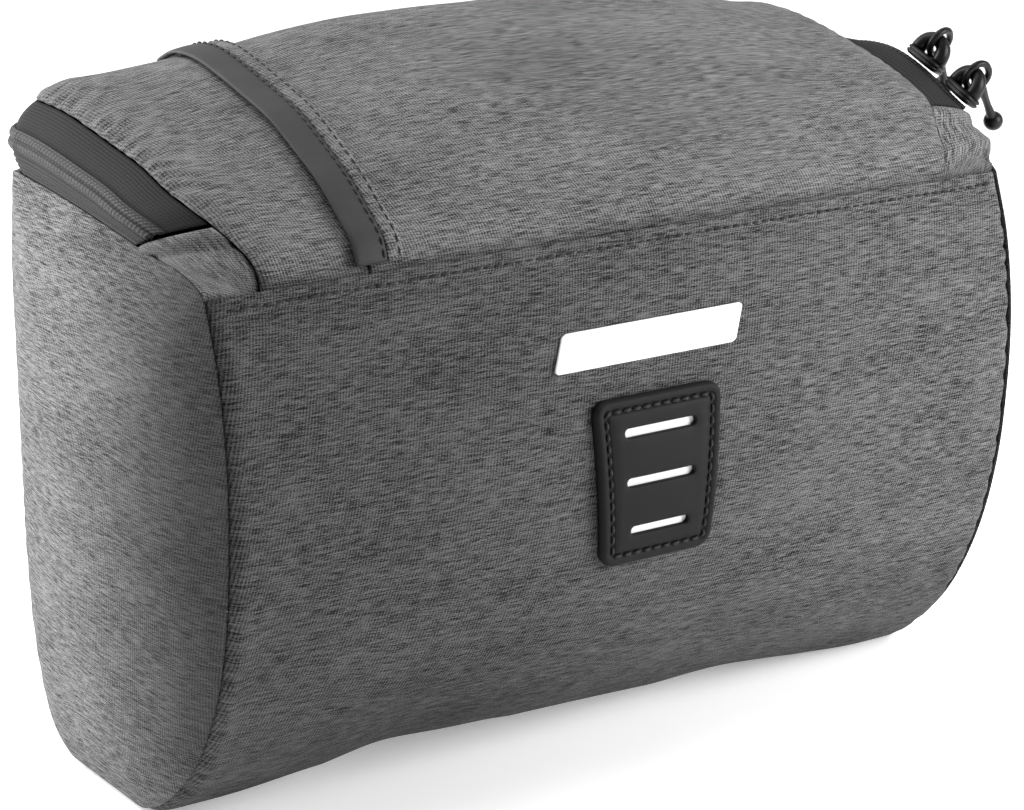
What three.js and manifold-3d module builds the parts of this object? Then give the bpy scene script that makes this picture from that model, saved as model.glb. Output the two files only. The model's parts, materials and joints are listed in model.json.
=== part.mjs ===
// A zipped handlebar bag: padded cloth walls, domed ends, an arched lid that is hinged at the front hem,
// a zip that runs round both ends and the back, and two loops behind it that hold a handlebar.
// Lengths are millimetres, +Z is up, +X runs along the bag to its right end, and the front faces -Y.
import * as THREE from 'three';
import { mergeVertices } from 'three/addons/utils/BufferGeometryUtils.js';
import Module from 'manifold-3d';

const wasm = await Module();
wasm.setup();

// Driving dimensions of the body
const seamLength = 234; // between the two end seams
const hemHeight = 138.7; // surface to the top edge of the front panel
const bodyDepth = 111; // front-most to back-most of the side outline
const wall = 2.5; // padded cloth
const gap = 0.3; // between pieces that touch
const endDome = 8.2; // how far an end panel swells past its seam
const endTopRise = 11.5; // the end panels' back top corners above the hem
const hemWidth = 3.6; // the folded strip along the front panel's top edge
const hemProud = 0.6;
const frontBelly = 3; // the front's fullness midway along the bag, low down
const bellyTop = 0.72; // share of the hem's height above which the front draws in a little
const drawIn = 0.3; // how far it draws in, as a share of the fullness
const soleLift = 2; // how far the underside draws up between its two ends
const footLength = 16; // the flat stretch under each end
const cornerSag = 4.5; // the lower front corner hangs this much fuller at the right end
const seamRoll = 1.5; // how far the wrap turns in at the end seams
const backTopArch = 3; // the back panel's top edge, higher in the middle

// Driving dimensions of the lid and its zip
const lidBackInset = 1.5; // the lid's back edge, in front of the back panel's inner face
const shoulderRise = 31; // the lid's end seams above the hem, at the back
const lidArch = 13; // the lid's crown above its end seams
const archSkew = 0.08; // the crown is fuller towards the right end
const lidWall = 1.6;
const hemInset = 15.5; // the lid's front corners, in from the end seams
const lidCornerRadius = 6;
const zipCornerRadius = 6;
const zipTuck = 2; // the zip's lower edge, behind the panels that it is sewn to
const zipBulge = 4; // the zip stands out round between its two seams
const zipLift = 7; // the raised stretch under the sliders
const sliderBulge = 7.2; // the right tab and the stretch under the sliders stand out further by this
const sliderDrag = 6; // the sliders drag the coil this far forward
const tapeThickness = 1.2;
const tapeSplit = 1.8; // between the two tapes, under the coil
const coilWidth = 5.6;
const coilHeight = 1.4;
const bandFromLeftSeam = 39; // to the smooth strap across the lid
const bandWidth = 8.6;
const bandThickness = 1.5;
const placketWidth = 4.6;
const placketThickness = 1;

// Driving dimensions of what is sewn on the front
const labelLength = 54;
const labelHeight = 9.2;
const labelSlant = 3.3;
const labelDrop = 25.4; // its centre below the hem
const frontMiddle = -0.8; // the label and the patch, a little left of the middle
const labelThickness = 0.8;
const patchTopWidth = 38.5;
const patchFootWidth = 33;
const patchHeight = 42;
const patchDrop = 59; // its centre below the hem
const patchThickness = 2.6;
const patchCorner = 4;
const slotLengths = [21.5, 20.5, 17.5];
const slotHeight = 2.4;
const slotPitch = 12.3;
const insertThickness = 0.9;
const insertMargin = 2.5; // the pale strip reaches this far past the slots

// Driving dimensions of the sliders and pulls
const sliderLength = 12;
const sliderWidth = 7.6;
const sliderThickness = 2.6;
const sliderPitch = 15; // from one slider to the next along the zip
const sliderFromTab = 6; // the front slider's middle, behind the tab's edge
const sliderTurn = 40; // degrees that the sliders roll upwards on the coil
const sliderRaise = 0.5; // which lifts their middles off it
const crownLength = 9;
const crownThickness = 2.8;
const crownBar = 2.6;
const crownHoleHeight = 3.8;
const crownHoleLength = 5.2;
const eyeWire = 1.4;
const eyeInnerWidth = 5.8;
const eyeInnerLength = 6.6;
const pullLength = 22.5;
const stemDiameter = 2.6;
const knobDiameter = 5.4;
const hangLean = 36; // degrees that the pulls hang off the upright, clear of the end panel

// Driving dimensions of the loops for the handlebar
const barDiameter = 31.8;
const barClearance = 0.8;
const strapWidth = 25;
const strapThickness = 2.2;
const strapSpacing = 116;
const strapHeight = 0.66; // share of the hem's height
const strapTail = 12; // sewn length above and below the loop

const halfLength = seamLength / 2;

// The side outline from the hem down the front, under the bag and up the back, as shares of depth and height
const sideRows = [
  { depth: 0.076, height: 1.0 },
  { depth: 0.03, height: 0.889 },
  { depth: 0.003, height: 0.747 },
  { depth: 0.003, height: 0.596 },
  { depth: 0.028, height: 0.424 },
  { depth: 0.085, height: 0.282 },
  { depth: 0.19, height: 0.146 },
  { depth: 0.33, height: 0.045 },
  { depth: 0.42, height: 0.008 },
  { depth: 0.46, height: 0.0 },
  { depth: 0.57, height: 0.0 },
  { depth: 0.68, height: 0.0 },
  { depth: 0.79, height: 0.0 },
  { depth: 0.895, height: 0.045 },
  { depth: 0.965, height: 0.171 },
  { depth: 0.996, height: 0.353 },
  { depth: 1.0, height: 0.464 },
  { depth: 1.0, height: 0.616 },
  { depth: 1.0, height: 0.768 },
  { depth: 1.0, height: 0.919 },
];
const backLean = 0.025; // share of the depth that the back's top edge leans in
const backSeamHeight = 0.16; // where the wrap from below meets the back panel, as a share of the hem's height

// The lid from the hem to its back edge. Shares: back of the lid's depth, edge of the shoulder's rise,
// crown of the lid's arch, inset of the hem inset, under of the way along the end panel's top edge
const lidRows = [
  { back: 0.0, edge: -0.08, crown: 0.0, inset: 1.0, under: 0.0 },
  { back: 0.004, edge: 0.06, crown: 0.0, inset: 0.98, under: 0.05 },
  { back: 0.025, edge: 0.21, crown: 0.0, inset: 0.91, under: 0.13 },
  { back: 0.08, edge: 0.34, crown: 0.02, inset: 0.78, under: 0.23 },
  { back: 0.175, edge: 0.53, crown: 0.12, inset: 0.49, under: 0.35 },
  { back: 0.28, edge: 0.64, crown: 0.39, inset: 0.36, under: 0.44 },
  { back: 0.41, edge: 0.76, crown: 0.69, inset: 0.33, under: 0.53 },
  { back: 0.55, edge: 0.85, crown: 0.83, inset: 0.28, under: 0.63 },
  { back: 0.685, edge: 0.93, crown: 0.94, inset: 0.24, under: 0.72 },
  { back: 0.8, edge: 0.98, crown: 1.0, inset: 0.22, under: 0.81 },
  { back: 0.91, edge: 1.0, crown: 0.86, inset: 0.2, under: 0.91 },
  { back: 1.0, edge: 1.0, crown: 0.4, inset: 0.2, under: 1.0 },
];
const tabShare = 3.5 / 11; // the left tab reaches this far along the rows above
const rightTabShare = 0.36;

// The top edge of an end panel from front to back, as a share of its rise
const endTopRows = [
  { back: 0.0, rise: 0.0 },
  { back: 0.1, rise: 0.28 },
  { back: 0.25, rise: 0.4 },
  { back: 0.45, rise: 0.6 },
  { back: 0.7, rise: 0.82 },
  { back: 1.0, rise: 1.0 },
];

// A smooth curve through the rows of a table, read at a share of the way or at a value of its first column
function column(rows, name, key) {
  const places = rows.map((row, i) => (key ? row[key] : i / (rows.length - 1)));
  const curve = new THREE.CubicInterpolant(places, rows.map((row) => row[name]), 1);
  return (at) => curve.evaluate(THREE.MathUtils.clamp(at, places[0], places[places.length - 1]))[0];
}

const ramp = (value, low, high) => THREE.MathUtils.smoothstep(value, low, high);
const spread = (count, from = 0, to = 1) =>
  Array.from({ length: count + 1 }, (_, i) => from + ((to - from) * i) / count);

// Side outline as a curve, with a tangent for the walls' thickness
const backTop = hemHeight + endTopRise;
const outline = new THREE.CatmullRomCurve3(
  [
    ...sideRows.map((row) => new THREE.Vector3(0, row.depth * bodyDepth, row.height * hemHeight)),
    new THREE.Vector3(0, (1 - backLean) * bodyDepth, backTop),
  ],
  false,
  'centripetal',
);
const stepsPerRow = 100;
outline.arcLengthDivisions = stepsPerRow * sideRows.length;
const outlineLength = outline.getLength();

// The flat sole, as lengths along the outline
const soleRows = sideRows.flatMap((row, i) => (row.height === 0 ? [i] : []));
const [soleFrom, soleTo] = [soleRows[0], soleRows[soleRows.length - 1]].map(
  (row) => outline.getLengths()[stepsPerRow * row],
);

// The place along the outline where the rising back reaches a height
function alongAtHeight(height) {
  let low = 0.5;
  let high = 1;
  for (let i = 0; i < 40; i += 1) {
    const middle = (low + high) / 2;
    if (outline.getPointAt(middle).z < height) low = middle;
    else high = middle;
  }
  return low * outlineLength;
}
const backSeamAlong = alongAtHeight(backSeamHeight * hemHeight);

// How full the front is at a share of the hem's height, from 1 at its fullest to a little below 0 near the hem
function bellyShare(height) {
  if (height < bellyTop) return Math.sin((Math.PI * height) / bellyTop);
  return -drawIn * Math.sin(Math.PI * Math.min(1, (height - bellyTop) / (1 - bellyTop)));
}

// How much of the sag a place on the outline takes: all of it low down on the front half
function sagShare(place) {
  const front = 1 - ramp(place.y, 0.5 * bodyDepth, 0.6 * bodyDepth);
  return front * (1 - ramp(place.z, 0.05 * hemHeight, 0.45 * hemHeight));
}

// A point of the wrapped wall at a length along the outline and a place along the bag, this far inside its face
function bodyPoint(along, x, inward) {
  const share = THREE.MathUtils.clamp(along / outlineLength, 0, 1);
  const place = outline.getPointAt(share);
  const tangent = outline.getTangentAt(share);
  const outward = { y: tangent.z, z: -tangent.y };
  const fromMiddle = Math.abs(x) / halfLength;
  const roll = seamRoll * ramp(Math.abs(x), halfLength - 3 * seamRoll, halfLength) ** 2;
  const proud = along < hemWidth && inward === 0 ? hemProud : 0;
  const inset = inward + roll - proud;
  const swell = 1 - fromMiddle ** 2;
  const low = Math.max(0, 1 - place.z / (0.35 * hemHeight));
  const lift = soleLift * low ** 2 * (1 - ramp(Math.abs(x), halfLength - 3 * footLength, halfLength - footLength));
  const sag = cornerSag * ramp(x, -halfLength / 3, halfLength) * sagShare(place);
  const belly = frontBelly * swell * bellyShare(place.z / hemHeight);
  const arch = backTopArch * swell * ramp(place.z, 0.9 * hemHeight, backTop) * Math.max(0, outward.y);
  return new THREE.Vector3(
    x,
    place.y - outward.y * inset - belly * Math.max(0, -outward.y),
    Math.max(place.z - outward.z * inset - sag, inset) + lift + arch,
  );
}

const hemDepth = sideRows[0].depth * bodyDepth;
const backTopDepth = (1 - backLean) * bodyDepth;
const lidFront = hemDepth + wall + gap;
const lidBack = backTopDepth - wall - gap - lidBackInset;
const lidDepth = lidBack - lidFront;
const lidBackShare = column(lidRows, 'back');
const lidEdgeShare = column(lidRows, 'edge');
const lidCrownShare = column(lidRows, 'crown');
const lidInsetShare = column(lidRows, 'inset');
const lidUnderShare = column(lidRows, 'under');
const endTopShare = column(endTopRows, 'rise', 'back');

const lidY = (along) => lidFront + lidDepth * lidBackShare(along);

// How far round the lid's back corner a place on its end seam lies, from 0 to a quarter turn
function cornerAngle(along) {
  const past = (lidY(along) - (lidBack - lidCornerRadius)) / lidCornerRadius;
  return Math.asin(THREE.MathUtils.clamp(past, 0, 1));
}

function lidHalfLength(along) {
  const corner = lidCornerRadius * (1 - Math.cos(cornerAngle(along)));
  return halfLength - hemInset * lidInsetShare(along) - corner;
}

// A point on the lid's outer face, where the crown falls to the edge height at both end seams
function lidPoint(x, along) {
  const towardsEnd = x / lidHalfLength(along);
  const crown = lidArch * lidCrownShare(along) * (1 - towardsEnd ** 2) * (1 + archSkew * towardsEnd);
  return new THREE.Vector3(x, lidY(along), hemHeight + shoulderRise * lidEdgeShare(along) + crown);
}

function lidNormal(x, along) {
  const step = 0.004;
  const from = Math.max(0, along - step);
  const to = Math.min(1, along + step);
  const acrossStep = lidPoint(x + 0.5, along).sub(lidPoint(x - 0.5, along));
  const backStep = lidPoint(x, to).sub(lidPoint(x, from));
  return acrossStep.cross(backStep).normalize();
}

// The share of the way along the lid where its seam reaches an angle round the back corner
function alongAtCorner(angle) {
  const target = lidBack - lidCornerRadius + lidCornerRadius * Math.sin(angle);
  let low = 0.5;
  let high = 1;
  for (let i = 0; i < 40; i += 1) {
    const middle = (low + high) / 2;
    if (lidY(middle) < target) low = middle;
    else high = middle;
  }
  return (low + high) / 2;
}

// The zip's two seams on the left, behind and on the right. A station is a side and a share of the way along
// an end, or a place along the back
const zipBackX = halfLength - hemInset * lidRows[lidRows.length - 1].inset - lidCornerRadius;
const endTopHeight = (y) => {
  const share = (y - hemDepth) / (backTopDepth - hemDepth);
  return hemHeight + endTopRise * endTopShare(share);
};

function endStation(side, along) {
  const upperX = side * lidHalfLength(along);
  const upper = lidPoint(upperX, along).addScaledVector(lidNormal(upperX, along), -(lidWall + gap));
  const turn = cornerAngle(along);
  const lowerBack = backTopDepth - wall - gap;
  const straight = lidFront + (lowerBack - zipCornerRadius - lidFront) * Math.min(1, lidUnderShare(along) / 0.88);
  const lowerY = turn > 0 ? lowerBack - zipCornerRadius * (1 - Math.sin(turn)) : straight;
  const lowerX = side * (halfLength - zipCornerRadius * (1 - Math.cos(turn)));
  const edge = new THREE.Vector3(lowerX, lowerY, endTopHeight(lowerY) + gap);
  return { edge, upper, out: new THREE.Vector3(side * Math.cos(turn), Math.sin(turn), 0), side, along };
}

function backStation(x) {
  const upper = lidPoint(x, 1).addScaledVector(lidNormal(x, 1), -(lidWall + gap));
  const lowerX = (x / zipBackX) * (halfLength - zipCornerRadius);
  const swell = 1 - (lowerX / halfLength) ** 2;
  const edge = new THREE.Vector3(lowerX, backTopDepth - wall - gap, backTop + backTopArch * swell + gap);
  return { edge, upper, out: new THREE.Vector3(0, 1, 0), side: 0, along: 1 };
}

// A point across the zip, from 0 at its tucked lower edge to 1 at its upper seam
const tuckShare = 0.1;
function zipPoint(station, across) {
  const { edge, upper, out, side, along } = station;
  if (across < tuckShare) {
    return edge.clone().setZ(edge.z - (zipTuck + gap) * (1 - across / tuckShare));
  }
  const opening = ramp(along, 0, tabShare * 0.6);
  const ridge = edge.clone().lerp(upper, 0.5).addScaledVector(out, zipBulge * opening);
  if (side > 0) {
    ridge.addScaledVector(out, sliderBulge * ramp(along, -0.1, 0.1) * (1 - ramp(along, 0.4, 0.75)));
    ridge.y -= sliderDrag * ramp(along, 0.05, 0.36) * (1 - ramp(along, 0.36, 0.65));
    const nearHem = 0.25 * (1 - ramp(along, 0.1, 0.36));
    ridge.z += zipLift * (nearHem + ramp(along, 0.38, 0.58) * (1 - ramp(along, 0.58, 0.82)));
  }
  const pull = ridge.multiplyScalar(2).addScaledVector(edge, -0.5).addScaledVector(upper, -0.5);
  const share = (across - tuckShare) / (1 - tuckShare);
  return new THREE.QuadraticBezierCurve3(edge, pull, upper).getPoint(share);
}
const ridgeShare = 0.5 + tuckShare / 2; // where the coil lies across the zip

const cornerStart = alongAtCorner(0);
const tabGap = (4 * gap) / lidDepth; // between a tab and the tapes, as a share of the lid's rows
const endStations = (side, from, to, count) => spread(count, from, to).map((along) => endStation(side, along));
const cornerStations = (side) =>
  spread(4, 0, Math.PI / 2).slice(1, -1).map((angle) => endStation(side, alongAtCorner(angle)));
const zipStations = [
  ...endStations(-1, tabShare + tabGap, cornerStart, 9),
  ...cornerStations(-1),
  ...spread(6, -zipBackX, zipBackX).map(backStation),
  ...cornerStations(1).reverse(),
  ...endStations(1, rightTabShare + tabGap, cornerStart, 12).reverse(),
];

// Solids

// A closed solid from two grids of points with the same rows and columns
function slab(outer, inner) {
  const rows = outer.length;
  const columns = outer[0].length;
  const points = [...outer.flat(), ...inner.flat()];
  const at = (face, row, col) => face * rows * columns + row * columns + col;
  const triangles = [];
  const quad = (a, b, c, d) => triangles.push(a, b, c, a, c, d);
  for (let row = 0; row + 1 < rows; row += 1) {
    for (let col = 0; col + 1 < columns; col += 1) {
      quad(at(0, row, col), at(0, row + 1, col), at(0, row + 1, col + 1), at(0, row, col + 1));
      quad(at(1, row, col), at(1, row, col + 1), at(1, row + 1, col + 1), at(1, row + 1, col));
    }
    quad(at(0, row, 0), at(1, row, 0), at(1, row + 1, 0), at(0, row + 1, 0));
    quad(at(0, row + 1, columns - 1), at(1, row + 1, columns - 1), at(1, row, columns - 1), at(0, row, columns - 1));
  }
  for (let col = 0; col + 1 < columns; col += 1) {
    quad(at(0, 0, col + 1), at(1, 0, col + 1), at(1, 0, col), at(0, 0, col));
    quad(at(0, rows - 1, col), at(1, rows - 1, col), at(1, rows - 1, col + 1), at(0, rows - 1, col + 1));
  }
  return outwardGeometry(points, triangles);
}

// A geometry whose faces are turned to point out, whichever way they were listed
function outwardGeometry(points, triangles) {
  let volume = 0;
  for (let i = 0; i < triangles.length; i += 3) {
    const [a, b, c] = [points[triangles[i]], points[triangles[i + 1]], points[triangles[i + 2]]];
    volume += a.dot(b.clone().cross(c));
  }
  const turned = volume < 0 ? triangles.slice().reverse() : triangles;
  const geometry = new THREE.BufferGeometry().setFromPoints(points);
  geometry.setIndex(turned);
  return geometry;
}

// The same grid moved along its own normals. On the zip's grids, a distance above zero moves it out of the bag
function offsetGrid(grid, distance) {
  const last = (list) => list.length - 1;
  return grid.map((row, i) =>
    row.map((point, j) => {
      const alongRow = row[Math.min(j + 1, last(row))].clone().sub(row[Math.max(j - 1, 0)]);
      const acrossRows = grid[Math.min(i + 1, last(grid))][j].clone().sub(grid[Math.max(i - 1, 0)][j]);
      const normal = alongRow.cross(acrossRows).normalize();
      return point.clone().addScaledVector(normal, typeof distance === 'function' ? distance(i, j) : distance);
    }),
  );
}

function toManifold(geometry) {
  const bare = geometry.clone();
  bare.deleteAttribute('normal');
  bare.deleteAttribute('uv');
  const merged = mergeVertices(bare, 1e-4);
  return new wasm.Manifold(
    new wasm.Mesh({
      numProp: 3,
      vertProperties: new Float32Array(merged.attributes.position.array),
      triVerts: new Uint32Array(merged.index.array),
    }),
  );
}

function fromManifold(solid) {
  const made = solid.getMesh();
  const positions = new Float32Array(made.numVert * 3);
  for (let i = 0; i < made.numVert; i += 1) {
    for (let axis = 0; axis < 3; axis += 1) {
      positions[3 * i + axis] = made.vertProperties[i * made.numProp + axis];
    }
  }
  const geometry = new THREE.BufferGeometry();
  geometry.setAttribute('position', new THREE.BufferAttribute(positions, 3));
  geometry.setIndex(new THREE.BufferAttribute(new Uint32Array(made.triVerts), 1));
  return geometry;
}

// Materials
const finishes = {
  heather: { color: 0x6b6b6b, roughness: 0.95, metalness: 0 },
  endHeather: { color: 0x777777, roughness: 0.95, metalness: 0 },
  smoothBand: { color: 0x4a4a4a, roughness: 0.6, metalness: 0 },
  zipTape: { color: 0x2b2b2b, roughness: 0.85, metalness: 0 },
  zipCoil: { color: 0x222222, roughness: 0.5, metalness: 0 },
  blackMetal: { color: 0x111111, roughness: 0.4, metalness: 0.6 },
  reflective: { color: 0xf2f2f2, roughness: 0.5, metalness: 0 },
  rubber: { color: 0x262626, roughness: 0.7, metalness: 0 },
  webbing: { color: 0x202020, roughness: 0.9, metalness: 0 },
};

const bag = new THREE.Group();

function addPiece(name, geometry, finish, parent = bag) {
  const piece = new THREE.Mesh(geometry, new THREE.MeshStandardMaterial(finishes[finish]));
  piece.name = name;
  geometry.computeVertexNormals();
  parent.add(piece);
  return piece;
}

// Body

// Stations along the bag, close together where the wrap turns in at the seams
const wrapMargin = 12; // from the end seams to the evenly spaced stations
const wrapStations = [
  ...[0, 1, 2, 3].map((i) => -halfLength + (i * seamRoll * 3) / 3),
  ...spread(10, -halfLength + wrapMargin, halfLength - wrapMargin),
  ...[3, 2, 1, 0].map((i) => halfLength - (i * seamRoll * 3) / 3),
];

const wrapPiece = (alongs, faceAlongs = alongs) =>
  slab(
    wrapStations.map((x) => alongs.map((along) => bodyPoint(along, x, 0))),
    wrapStations.map((x) => faceAlongs.map((along) => bodyPoint(along, x, wall))),
  );

function frontPanel() {
  const hemSteps = [0, hemWidth / 2, hemWidth - 0.01, hemWidth + 0.4];
  return wrapPiece([
    ...hemSteps,
    ...spread(17, 2.4 * hemWidth, soleFrom),
    ...spread(3, soleFrom, soleTo).slice(1),
    ...spread(4, soleTo, backSeamAlong - gap / 2).slice(1),
  ]);
}

function backPanel() {
  return wrapPiece(spread(7, backSeamAlong + gap / 2, outlineLength));
}

// The rim of an end panel: down the front, under, up the back and forward along its top edge
function endRim(side, count) {
  const round = spread(count, 0, outlineLength).map((along) => bodyPoint(along, side * halfLength, 0));
  const top = spread(8, 1, 0).slice(1, -1).map((share) => {
    const y = hemDepth + seamRoll + share * (backTopDepth - hemDepth - 2 * seamRoll);
    return new THREE.Vector3(side * halfLength, y, endTopHeight(y));
  });
  return [...round, ...top];
}

function endPanel(side) {
  const rim = endRim(side, 34);
  const box = new THREE.Box3().setFromPoints(rim);
  const middle = box.getCenter(new THREE.Vector3());
  const shares = [1, 0.985, 0.95, 0.88, 0.76, 0.5];
  const ring = (share, inward) => {
    const swell = (endDome - inward) * (1 - share ** 6) ** 0.68;
    return rim.map((point) => {
      const reach = point.clone().sub(middle);
      const shrunk = (1 - inward / reach.length()) * share;
      return new THREE.Vector3(
        side * (halfLength + gap + swell),
        middle.y + reach.y * shrunk,
        middle.z + reach.z * shrunk,
      );
    });
  };
  return domedCap(
    shares.map((share) => ring(share, 0)),
    shares.map((share) => ring(share, wall)),
  );
}

// A closed solid from rings that shrink towards a middle point, outside and inside
function domedCap(outer, inner) {
  const count = outer[0].length;
  const rings = outer.length;
  const points = [...outer.flat(), ...inner.flat()];
  const middles = [outer, inner].map((face) => {
    const last = face[rings - 1];
    const middle = last.reduce((sum, point) => sum.add(point), new THREE.Vector3()).divideScalar(count);
    points.push(middle);
    return points.length - 1;
  });
  const at = (face, ring, i) => face * rings * count + ring * count + (i % count);
  const triangles = [];
  for (let i = 0; i < count; i += 1) {
    for (let ring = 0; ring + 1 < rings; ring += 1) {
      triangles.push(at(0, ring, i), at(0, ring, i + 1), at(0, ring + 1, i + 1));
      triangles.push(at(0, ring, i), at(0, ring + 1, i + 1), at(0, ring + 1, i));
      triangles.push(at(1, ring, i + 1), at(1, ring, i), at(1, ring + 1, i + 1));
      triangles.push(at(1, ring + 1, i + 1), at(1, ring, i), at(1, ring + 1, i));
    }
    triangles.push(at(0, rings - 1, i), at(0, rings - 1, i + 1), middles[0]);
    triangles.push(at(1, rings - 1, i + 1), at(1, rings - 1, i), middles[1]);
    triangles.push(at(0, 0, i + 1), at(0, 0, i), at(1, 0, i));
    triangles.push(at(0, 0, i + 1), at(1, 0, i), at(1, 0, i + 1));
  }
  return outwardGeometry(points, triangles);
}

// Lid
const lidAlongs = [...spread(12, 0, cornerStart), ...spread(3, 0, Math.PI / 2).slice(1).map(alongAtCorner)];
const bandLeft = -halfLength + bandFromLeftSeam;
const bandRight = bandLeft + bandWidth;
const lidSeam = (bandLeft + bandRight) / 2;

// A stretch of the lid between two places, which may follow the end seams
function lidPiece(leftAt, rightAt, columns, low, high, alongs = lidAlongs) {
  const face = (height) =>
    alongs.map((along) =>
      spread(columns, leftAt(along), rightAt(along)).map((x) =>
        lidPoint(x, along).addScaledVector(lidNormal(x, along), height),
      ),
    );
  return slab(face(high), face(low));
}

const leftSeam = (along) => -lidHalfLength(along);
const rightSeam = (along) => lidHalfLength(along);
const lidPanelLeft = () => lidPiece(leftSeam, () => lidSeam - gap / 2, 4, -lidWall, 0);
const lidPanelRight = () => lidPiece(() => lidSeam + gap / 2, rightSeam, 11, -lidWall, 0);

// What lies on the lid starts above the hem and ends at the lid's back edge
const overHem = 0.9 / (lidRows.length - 1);
const overLidAlongs = [overHem, ...lidAlongs.filter((along) => along > overHem + 0.02)];
const lidBand = () =>
  lidPiece(() => bandLeft, () => bandRight, 3, gap, gap + bandThickness, overLidAlongs);
const lidPlacket = () =>
  lidPiece(() => bandRight + gap, () => bandRight + placketWidth, 2, gap, gap + placketThickness, overLidAlongs);

// Zip
const zipGrid = (stations, acrosses) =>
  stations.map((station) => acrosses.map((across) => zipPoint(station, across)));
const zipWidth = zipPoint(backStation(0), 0).distanceTo(zipPoint(backStation(0), 1));
const coilHalf = coilWidth / zipWidth / 2;
const tapeGap = tapeSplit / zipWidth / 2;

function zipTape(acrosses) {
  const grid = zipGrid(zipStations, acrosses);
  return slab(grid, offsetGrid(grid, -tapeThickness));
}

function zipCoil() {
  const grid = zipGrid(zipStations, spread(4, ridgeShare - coilHalf, ridgeShare + coilHalf));
  const heights = [0.35, 0.85, 1, 0.85, 0.35];
  return slab(
    offsetGrid(grid, (i, j) => gap + coilHeight * heights[j]),
    offsetGrid(grid, gap),
  );
}

function zipTab(side) {
  const stations = endStations(side, 0.05, side < 0 ? tabShare : rightTabShare, 6);
  const grid = zipGrid(side < 0 ? stations : stations.reverse(), [0, ...spread(5, tuckShare, 1)]);
  return slab(grid, offsetGrid(grid, -tapeThickness));
}

// Front

// A point over the front panel, at a drop below the hem, held off its face
function frontPoint(x, drop, height) {
  const along = alongAtDrop(drop);
  const here = bodyPoint(along, x, 0);
  const next = bodyPoint(along + 1, x, 0);
  const down = next.clone().sub(here);
  const outward = new THREE.Vector3(0, down.z, -down.y).normalize();
  return here.addScaledVector(outward, height);
}

// The length along the outline where the front lies this far below the hem
function alongAtDrop(drop) {
  let low = 0;
  let high = 0.4 * outlineLength;
  for (let i = 0; i < 40; i += 1) {
    const middle = (low + high) / 2;
    if (hemHeight - outline.getPointAt(middle / outlineLength).z < drop) low = middle;
    else high = middle;
  }
  return (low + high) / 2;
}

// A thin piece that follows the front, with its half length at each drop given by a function
function frontPiece(middleDrop, height, halfAt, slantAt, rows, columns, low, high) {
  const face = (off) =>
    spread(rows, -height / 2, height / 2).map((down) =>
      spread(columns, -1, 1).map((share) =>
        frontPoint(frontMiddle + share * halfAt(down) + slantAt(down), middleDrop + down, off),
      ),
    );
  return slab(face(high), face(low));
}

function frontLabel() {
  const slant = (down) => -(down / labelHeight) * labelSlant;
  return frontPiece(labelDrop, labelHeight, () => labelLength / 2, slant, 2, 6, gap, gap + labelThickness);
}

// Half the patch's width at a height, narrower round its corners
function patchHalf(down) {
  const share = down / patchHeight + 0.5;
  const straight = (patchTopWidth + (patchFootWidth - patchTopWidth) * share) / 2;
  const intoCorner = THREE.MathUtils.clamp(Math.abs(down) - (patchHeight / 2 - patchCorner), 0, patchCorner);
  return straight - patchCorner + Math.sqrt(patchCorner ** 2 - intoCorner ** 2);
}

const slotDrops = slotLengths.map((_, i) => (i - (slotLengths.length - 1) / 2) * slotPitch);
const insertHeight = slotPitch * (slotLengths.length - 1) + slotHeight + 2 * insertMargin;
const insertHalf = Math.max(...slotLengths) / 2 + insertMargin;

function patchInsert(grow) {
  const low = gap - grow * 2;
  const high = gap + insertThickness + grow;
  return frontPiece(patchDrop, insertHeight + 2 * grow, () => insertHalf + grow, () => 0, 6, 2, low, high);
}

function lightPatch() {
  const rowsDown = [
    ...[0, 1, 2, 3].map((i) => -patchHeight / 2 + patchCorner * (1 - Math.cos((i * Math.PI) / 6))),
    ...spread(4, -patchHeight / 2 + patchCorner + 2, patchHeight / 2 - patchCorner - 2),
    ...[3, 2, 1, 0].map((i) => patchHeight / 2 - patchCorner * (1 - Math.cos((i * Math.PI) / 6))),
  ];
  const face = (off) =>
    rowsDown.map((down) =>
      spread(2, -1, 1).map((share) => frontPoint(frontMiddle + share * patchHalf(down), patchDrop + down, off)),
    );
  let patch = toManifold(slab(face(gap + patchThickness), face(gap)));
  patch = patch.subtract(toManifold(patchInsert(gap)));
  for (const [i, length] of slotLengths.entries()) {
    patch = patch.subtract(toManifold(slotCutter(length, slotDrops[i])));
  }
  return fromManifold(patch);
}

// A round-ended bar that passes through the patch from front to back
function slotCutter(length, down) {
  const half = length / 2 - slotHeight / 2;
  const shape = new THREE.Shape();
  shape.absarc(half, 0, slotHeight / 2, -Math.PI / 2, Math.PI / 2);
  shape.absarc(-half, 0, slotHeight / 2, Math.PI / 2, (3 * Math.PI) / 2);
  const reach = 4 * patchThickness;
  const cutter = new THREE.ExtrudeGeometry(shape, { depth: reach, bevelEnabled: false, curveSegments: 6 });
  cutter.translate(0, 0, -reach / 2);
  cutter.rotateX(Math.PI / 2);
  const middle = frontPoint(frontMiddle, patchDrop + down, gap + patchThickness / 2);
  return cutter.translate(middle.x, middle.y, middle.z);
}

// Sliders and pulls

// The zip's middle line on the right end, as places with lengths from the tab's edge
const zipLine = new THREE.CatmullRomCurve3(
  endStations(1, rightTabShare, cornerStart, 24).map((station) => zipPoint(station, ridgeShare)),
);
const zipLineLength = zipLine.getLength();

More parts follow.
